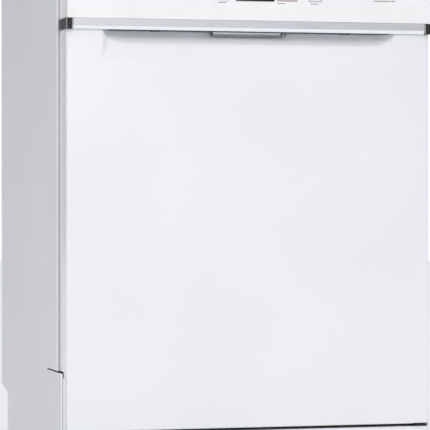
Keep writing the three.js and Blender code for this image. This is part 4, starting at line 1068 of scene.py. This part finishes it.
def make_tub_back():
    """Rear wall of the tub, with one pressed ring that stiffens it."""
    low, high = span("tub_back")

    def place(x, z):
        ring = ramp(1 - abs(math.hypot(x, z - 450) - 190) / 14)
        return x, low[1] + 2.2 * ring, z

    bm = grid_sheet(steps(low[0], high[0], 44), steps(low[2], high[2], 52), place)
    sheet = thickened(bm, 0.9, -1)
    finish_object("tub_back_sheet", sheet, STAINLESS, "cabinet", ("tub_back",))


def make_mats():
    """Sound-deadening mats bonded to the outside of the tub, on top and on both sides."""
    low, high = span("tub_top")
    top = high[2] - 12.4
    wall = 272.2
    mats = []
    for x0, x1 in ((-238, -4), (4, 238)):
        mats.append(block((x0, low[1] + 24, top), (x1, high[1] - 14, top + 3.2), 1.0, 2))
    for side in (-1, 1):
        x0, x1 = sorted((side * wall, side * (wall + 3)))
        mats.append(block((x0, low[1] + 26, 190), (x1, high[1] - 14, 730), 1.0, 2))
    finish_object("tub_sound_mats", joined(mats), BITUMEN, "cabinet")


def make_gasket():
    """Two round beads with a web between them, up one side, over the top and down the other."""
    low, high = span("door_gasket")
    middle_y = middle("door_gasket")[1]
    beads = []
    for inset, radius, bend in ((2.6, 2.1, 23.4), (9.0, 2.1, 17), (5.8, 1.5, 20)):
        x0, x1, top = low[0] + inset, high[0] - inset, high[2] - inset
        path = [(x0, middle_y, low[2]), (x0, middle_y, top), (x1, middle_y, top), (x1, middle_y, low[2])]
        beads.append(wires(path, radius, RUBBER, bend=bend))
    finish_object("door_seal", joined(beads), RUBBER, "cabinet", ("door_gasket",))


def toothed_cap(x, y, z0, z1, radius, teeth, handle_height):
    """A toothed cap with a bar to turn it by."""
    outline = []
    for i in range(teeth * 2):
        r = radius - (0.9 if i % 2 else 0)
        angle = math.tau * i / (teeth * 2)
        outline.append((x + r * math.cos(angle), y + r * math.sin(angle)))
    rim = prism(outline, "Z", z0, z1)
    bar = block((x - radius + 5, y - 3.4, z1 - 1), (x + radius - 5, y + 3.4, z1 + handle_height), 1.2)
    return joined([rim, bar])


def make_filters():
    ease_piece("filter_plate", 0.3, FILTER_STEEL, "cabinet")
    node = "filter_cylinder"
    low, high = span(node)
    x, y, _ = middle(node)
    top = high[2] - 4
    sleeve = turned([(0, low[2]), (30, low[2]), (31.5, low[2] + 2), (31.5, top - 20), (0, top - 20)])
    sleeve.transform(Matrix.Translation((x, y, 0)))
    finish_object("filter_mesh_sleeve", sleeve, FILTER_STEEL, node)
    rim = turned([(0, top - 19.8), (32, top - 19.8), (32, top - 14), (39.4, top - 9), (39.8, top - 1),
                  (39, top - 0.2), (33, top), (31, top - 1.6), (0, top - 1.6)])
    rim.transform(Matrix.Translation((x, y, 0)))
    bar = block((x - 33, y - 3.8, top - 2), (x + 33, y + 3.8, high[2]), 1.4)
    finish_object("filter_rim", joined([rim, bar]), GREY_PLASTIC, node, (node,))
    low, high = span("salt_cap")
    x, y, _ = middle("salt_cap")
    cap = toothed_cap(x, y, low[2], high[2] - 4, (high[0] - low[0]) / 2, 28, 3.8)
    finish_object("salt_screw_cap", cap, BLUE_PLASTIC, "salt_cap", ("salt_cap",))
    ease_piece("water_feed_pipe", 0.3, GREY_PLASTIC, "cabinet")


# ---- Racks and spray arms ---------------------------------------------------------------------


ARM_TURN = math.pi * 0.17  # how far each spray arm is turned at rest
RACK_HALF_WIDTH = 250


def spray_arm(node, radius, blade_on_top):
    """A blade that narrows to its round tips, on a hub, with nozzles along both halves."""
    low, high = span(node)
    x, y, _ = middle(node)
    hub_low, hub_high = low[2], high[2]
    blade_low = hub_high - 12 if blade_on_top else hub_low
    tip, root = 13, 19.6
    outline = []
    for side in (1, -1):
        outline += [(side * 30, -side * root), (side * (radius - 16), -side * tip)]
        for i in range(1, 8):
            angle = -math.pi / 2 + math.pi * i / 8
            reach = radius - tip - 0.4 + tip * math.cos(angle)
            outline.append((side * reach, side * tip * math.sin(angle)))
        outline += [(side * (radius - 16), side * tip), (side * 30, side * root)]
    blade = prism(outline, "Z", blade_low + 0.2, blade_low + 11.8, 3.2, 3)
    hub = turned([(0, hub_low), (20, hub_low), (23.6, hub_low + 2), (23.6, hub_high - 4),
                  (20, hub_high - 0.6), (12, hub_high), (9, hub_high - 1.6), (0, hub_high - 1.6)])
    nozzle = turned([(1.3, 0.2), (3.6, 0.2), (3.6, 1.2), (2.6, 1.8), (1.3, 0.9), (1.3, 0.2)], steps=14)
    groups = []
    for start, step in ((44, 30), (-44, -30)):
        one = nozzle.copy()
        one.transform(Matrix.Translation((start, 5 if start > 0 else -5, blade_low + 10.6)))
        groups.append(row(one, GREY_PLASTIC, 5, (step, 0, 0)))
    arm = joined([blade, hub, *groups])
    arm.transform(Matrix.Translation((x, y, 0)) @ Matrix.Rotation(ARM_TURN, 4, "Z"))
    finish_object(f"{node}_moulding", arm, GREY_PLASTIC, node, (node,))


def loop(x0, x1, y0, y1, z, corner, radius):
    """A rounded rectangle of wire lying flat."""
    path = [(u, v, z) for u, v in rounded_outline(x0, x1, y0, y1, corner)]
    return wires(path, radius, WIRE, bend=0.1, closed=True)


def wire_basket(x, y0, y1, z0, z1, levels, step_x, step_y):
    """Rim and belt loops, with hoops across and along."""
    thin, thick, corner = 1.6, 2.3, 22
    parts = [loop(-x + thick, x - thick, y0 + thick, y1 - thick, z1 - thick, corner, thick)]
    for z in levels:
        parts.append(loop(-x + thick + 0.6, x - thick - 0.6, y0 + thick + 0.6, y1 - thick - 0.6, z, 20, thin))
    floor, rim = z0 + thin + 0.2, z1 - 3
    inner_x, inner_y0, inner_y1 = x - 3.4, y0 + 3.4, y1 - 3.4
    length, width = y1 - y0 - 2 * corner, 2 * x - 2 * corner
    count = int(length // step_y)
    path = ((-inner_x, rim), (-inner_x, floor), (inner_x, floor), (inner_x, rim))
    hoop = [(u, y0 + corner, z) for u, z in path]
    parts.append(wires(hoop, thin, WIRE, count + 1, (0, length / count, 0), 14))
    count = int(width // step_x)
    path = ((inner_y0, rim), (inner_y0, floor + 2.4), (inner_y1, floor + 2.4), (inner_y1, rim))
    hoop = [(corner - x, v, z) for v, z in path]
    parts.append(wires(hoop, thin, WIRE, count + 1, (width / count, 0, 0), 14))
    return parts


def tine_row(x, y, count, step, base, height):
    """Prongs that hold plates, in a row from front to back, leaning away from the middle."""
    lean = 2 if x > 0 else -2
    prong = [(x, y, base), (x + lean, y, base + height * 0.5), (x + lean * 2, y, base + height)]
    return wires(prong, 1.6, WIRE, count, (0, step, 0), 3)


def make_lower_rack():
    low, high = span("lower_rack")
    basket_back = span("cutlery_basket")[1][1]
    y0, y1, z0, z1 = low[1], high[1], 170, high[2]
    parts = wire_basket(RACK_HALF_WIDTH, y0, y1, z0, z1, (z0 + 30, z0 + 62, z0 + 95), 33, 27)
    floor = z0 + 4
    for x in (-205, -165, 165, 205):
        parts.append(tine_row(x, y0 + 40, 13, 27, floor, 62))
    for x in (-100, -55, 55, 100):
        parts.append(tine_row(x, basket_back + 22, 11, 27, floor, 62))
    finish_object("lower_rack_wire", joined(parts), WIRE, "lower_rack", ("lower_rack",))
    carriers = []
    for end in ("front", "rear"):
        for label, side in SIDES:
            _, y, z = middle(f"wheel_{end}_{label}")
            inner, outer = sorted((side * 244, side * 249.6))
            carriers.append(block((inner, y - 7.6, z - 6.6), (outer, y + 7.6, z0 + 34), 1.4))
            pin = turned([(0, 0), (3, 0), (3, 13), (0, 13)], "X", steps=20)
            pin.transform(Matrix.Translation((248, y, z)))
            if side < 0:
                pin.transform(Matrix.Scale(-1, 4, (1, 0, 0)))
                pin.flip_normals()
            carriers.append(pin)
    finish_object("lower_rack_wheel_carriers", joined(carriers), GREY_PLASTIC, "lower_rack")


def make_wheels():
    half = [(3.5, -4.9), (7, -4.9), (7.6, -3.4), (12.6, -3), (13.4, -4.9), (16.2, -4.9), (17, -4)]
    profile = half + [(r, -h) for r, h in reversed(half)] + half[:1]
    for end in ("front", "rear"):
        for label, _ in SIDES:
            node = f"wheel_{end}_{label}"
            wheel = turned(profile, "X", steps=40)
            wheel.transform(Matrix.Translation(middle(node)))
            finish_object(f"{node}_tyre", wheel, GREY_PLASTIC, node, (node,))


def make_basket():
    low, high = span("cutlery_basket")
    wall = 2.6
    parts = [block(low, (high[0], high[1], low[2] + 3), 1.0)]
    for z0, z1 in ((high[2] - 9, high[2]), (low[2] + 46, low[2] + 52)):
        outer = block((low[0], low[1], z0), (high[0], high[1], z1), 1.0)
        inner = block((low[0] + wall, low[1] + wall, z0 - 2), (high[0] - wall, high[1] - wall, z1 + 2))
        parts.append(carved(outer, inner))
    post_top = high[2] - 4
    for y in (low[1], high[1] - wall):
        post = block((low[0] + 0.2, y + 0.2, low[2] + 1), (low[0] + 3.4, y + wall - 0.2, post_top), 0.5, 1)
        parts.append(row(post, GREY_PLASTIC, 24, ((high[0] - low[0] - 3.6) / 23, 0, 0)))
    for x in (low[0], high[0] - wall):
        post = block((x + 0.2, low[1] + 8, low[2] + 1), (x + wall - 0.2, low[1] + 11.2, post_top), 0.5, 1)
        parts.append(row(post, GREY_PLASTIC, 6, (0, 8.8, 0)))
    for share in (1 / 3, 2 / 3):
        x = low[0] + (high[0] - low[0]) * share
        parts.append(block((x - 1, low[1] + 1, low[2] + 1), (x + 1, high[1] - 1, high[2] - 12), 0.5))
    node = "cutlery_basket"
    finish_object("cutlery_basket_moulding", joined(parts), GREY_PLASTIC, node, (node,))


def make_upper_rack():
    low, high = span("upper_rack")
    y0, y1, z0, z1 = low[1], high[1], 470, high[2]
    parts = wire_basket(RACK_HALF_WIDTH, y0, y1, z0, z1, (z0 + 34, z0 + 66), 36, 30)
    for x in (-120, -60, 60, 120):
        parts.append(tine_row(x, y0 + 40, 12, 30, z0 + 4, 44))
    finish_object("upper_rack_wire", joined(parts), WIRE, "upper_rack", ("upper_rack",))
    hub_foot = span("upper_spray_arm")[1][2] + 0.3
    pivot_y = middle("upper_spray_arm")[1]
    hub = turned([(0, hub_foot), (10, hub_foot), (10, z0 - 2), (13, z0 - 1), (13, z0 + 0.5), (0, z0 + 1)])
    hub.transform(Matrix.Translation((0, pivot_y, 0)))
    tube_length = y1 - 2 - pivot_y
    tube = turned([(0, 0), (6, 0), (6, tube_length), (0, tube_length)], "Y", steps=24)
    tube.transform(Matrix.Translation((0, y1 - 2, z0 - 5)))
    finish_object("upper_feed_tube", joined([hub, tube]), GREY_PLASTIC, "upper_rack")
    for label, _ in SIDES:
        node = f"cup_shelf_{label}"
        (x0, front, _), (x1, back, _) = span(node)
        z = middle(node)[2]
        frame_wire = loop(x0 + 1.6, x1 - 1.6, front + 1.6, back - 1.6, z, 9, 1.6)
        rung = [(x0 + 2, front + 22, z), (x1 - 2, front + 22, z)]
        rungs = wires(rung, 1.3, WIRE, 8, (0, 28, 0), 1)
        finish_object(f"{node}_wire", joined([frame_wire, rungs]), WIRE, node, (node,))
        ease_piece(f"upper_rail_{label}", 0.35, STAINLESS_FLAT, "upper_rails")


# ---- The whole scene --------------------------------------------------------------------------

SLOT_MATERIALS = {
    "white_enamel": ENAMEL, "coated_steel": SIDE_STEEL, "white_plastic": CLEAR_WHITE_PLASTIC,
    "pink_grey_plastic": WARM_KEY_PLASTIC, "grey_plastic": GREY_PLASTIC, "dark_plastic": DARK_PLASTIC,
    "blue_grey_plastic": BLUE_PLASTIC, "satin_trim": TRIM_METAL, "stainless": STAINLESS, "zinc_steel": ZINC,
    "rubber": RUBBER, "black_glass": GLASS, "coated_wire": WIRE,
}


def paint_nodes():
    """Every CAD node gets the finish of its slot."""
    for entry in frame["record"]["subparts"]:
        node = frame["nodes"][entry["node"]]
        node.data.materials.clear()
        node.data.materials.append(SLOT_MATERIALS[entry["material_slot"]])


FLOOR_RADIUS = 12  # metres
FLOOR_POINTS = 96
HORIZON_LIGHT = 0.16
ZENITH_LIGHT = 1.3


def make_studio():
    angles = [math.tau * i / FLOOR_POINTS for i in range(FLOOR_POINTS)]
    ring = [(FLOOR_RADIUS * math.cos(a), FLOOR_RADIUS * math.sin(a), 0) for a in angles]
    bm = bmesh.new()
    bm.faces.new([bm.verts.new(place) for place in ring])
    floor = bpy.data.objects.new("studio_floor", mesh_of(bm))
    floor.data.materials.append(PAPER)
    bpy.context.scene.collection.objects.link(floor)
    world = bpy.data.worlds.new("studio")
    bpy.context.scene.world = world
    world.use_nodes = True
    tree = world.node_tree
    tree.nodes.clear()
    # A wide softbox overhead, bright at the zenith and dim near the horizon, lights the floor more than
    # the upright faces. The camera sees plain white behind the floor.
    direction = add_node(tree, "ShaderNodeTexCoord")
    height = add_node(tree, "ShaderNodeSeparateXYZ", {"Vector": direction.outputs["Generated"]})
    softbox = add_node(tree, "ShaderNodeMapRange", {
        "Value": height.outputs["Z"], "From Min": 0.1, "From Max": 0.9,
        "To Min": HORIZON_LIGHT, "To Max": ZENITH_LIGHT})
    fill = add_node(tree, "ShaderNodeBackground", {
        "Color": (0.96, 0.97, 1.0, 1), "Strength": softbox.outputs["Result"]})
    path = add_node(tree, "ShaderNodeLightPath")
    paper = add_node(tree, "ShaderNodeBackground", {"Color": (1, 1, 1, 1), "Strength": 1.0})
    mixed = add_node(tree, "ShaderNodeMixShader", {
        "Fac": path.outputs["Is Camera Ray"], 1: fill.outputs["Background"], 2: paper.outputs["Background"]})
    add_node(tree, "ShaderNodeOutputWorld", {"Surface": mixed.outputs["Shader"]})
    area_light("key_light", (-0.75, -2.9, 2.1), (0, 0, 0.5), (1.4, 1.2), 24, (1, 0.99, 0.98))
    area_light("trim_light", (0.5, -4.3, 1.0), (-0.2, -0.28, 0.7), (0.7, 0.7), 3.5)
    bpy.context.scene.view_settings.view_transform = "Standard"


make_camera()
make_studio()
paint_nodes()
make_door()
make_liner()
make_trim()
make_panel()
make_keys()
make_lever()
make_dispenser()
make_hinges()
make_cabinet()
make_tub()
make_filters()
spray_arm("lower_spray_arm", 208, False)
spray_arm("upper_spray_arm", 198, True)
make_lower_rack()
make_wheels()
make_basket()
make_upper_rack()
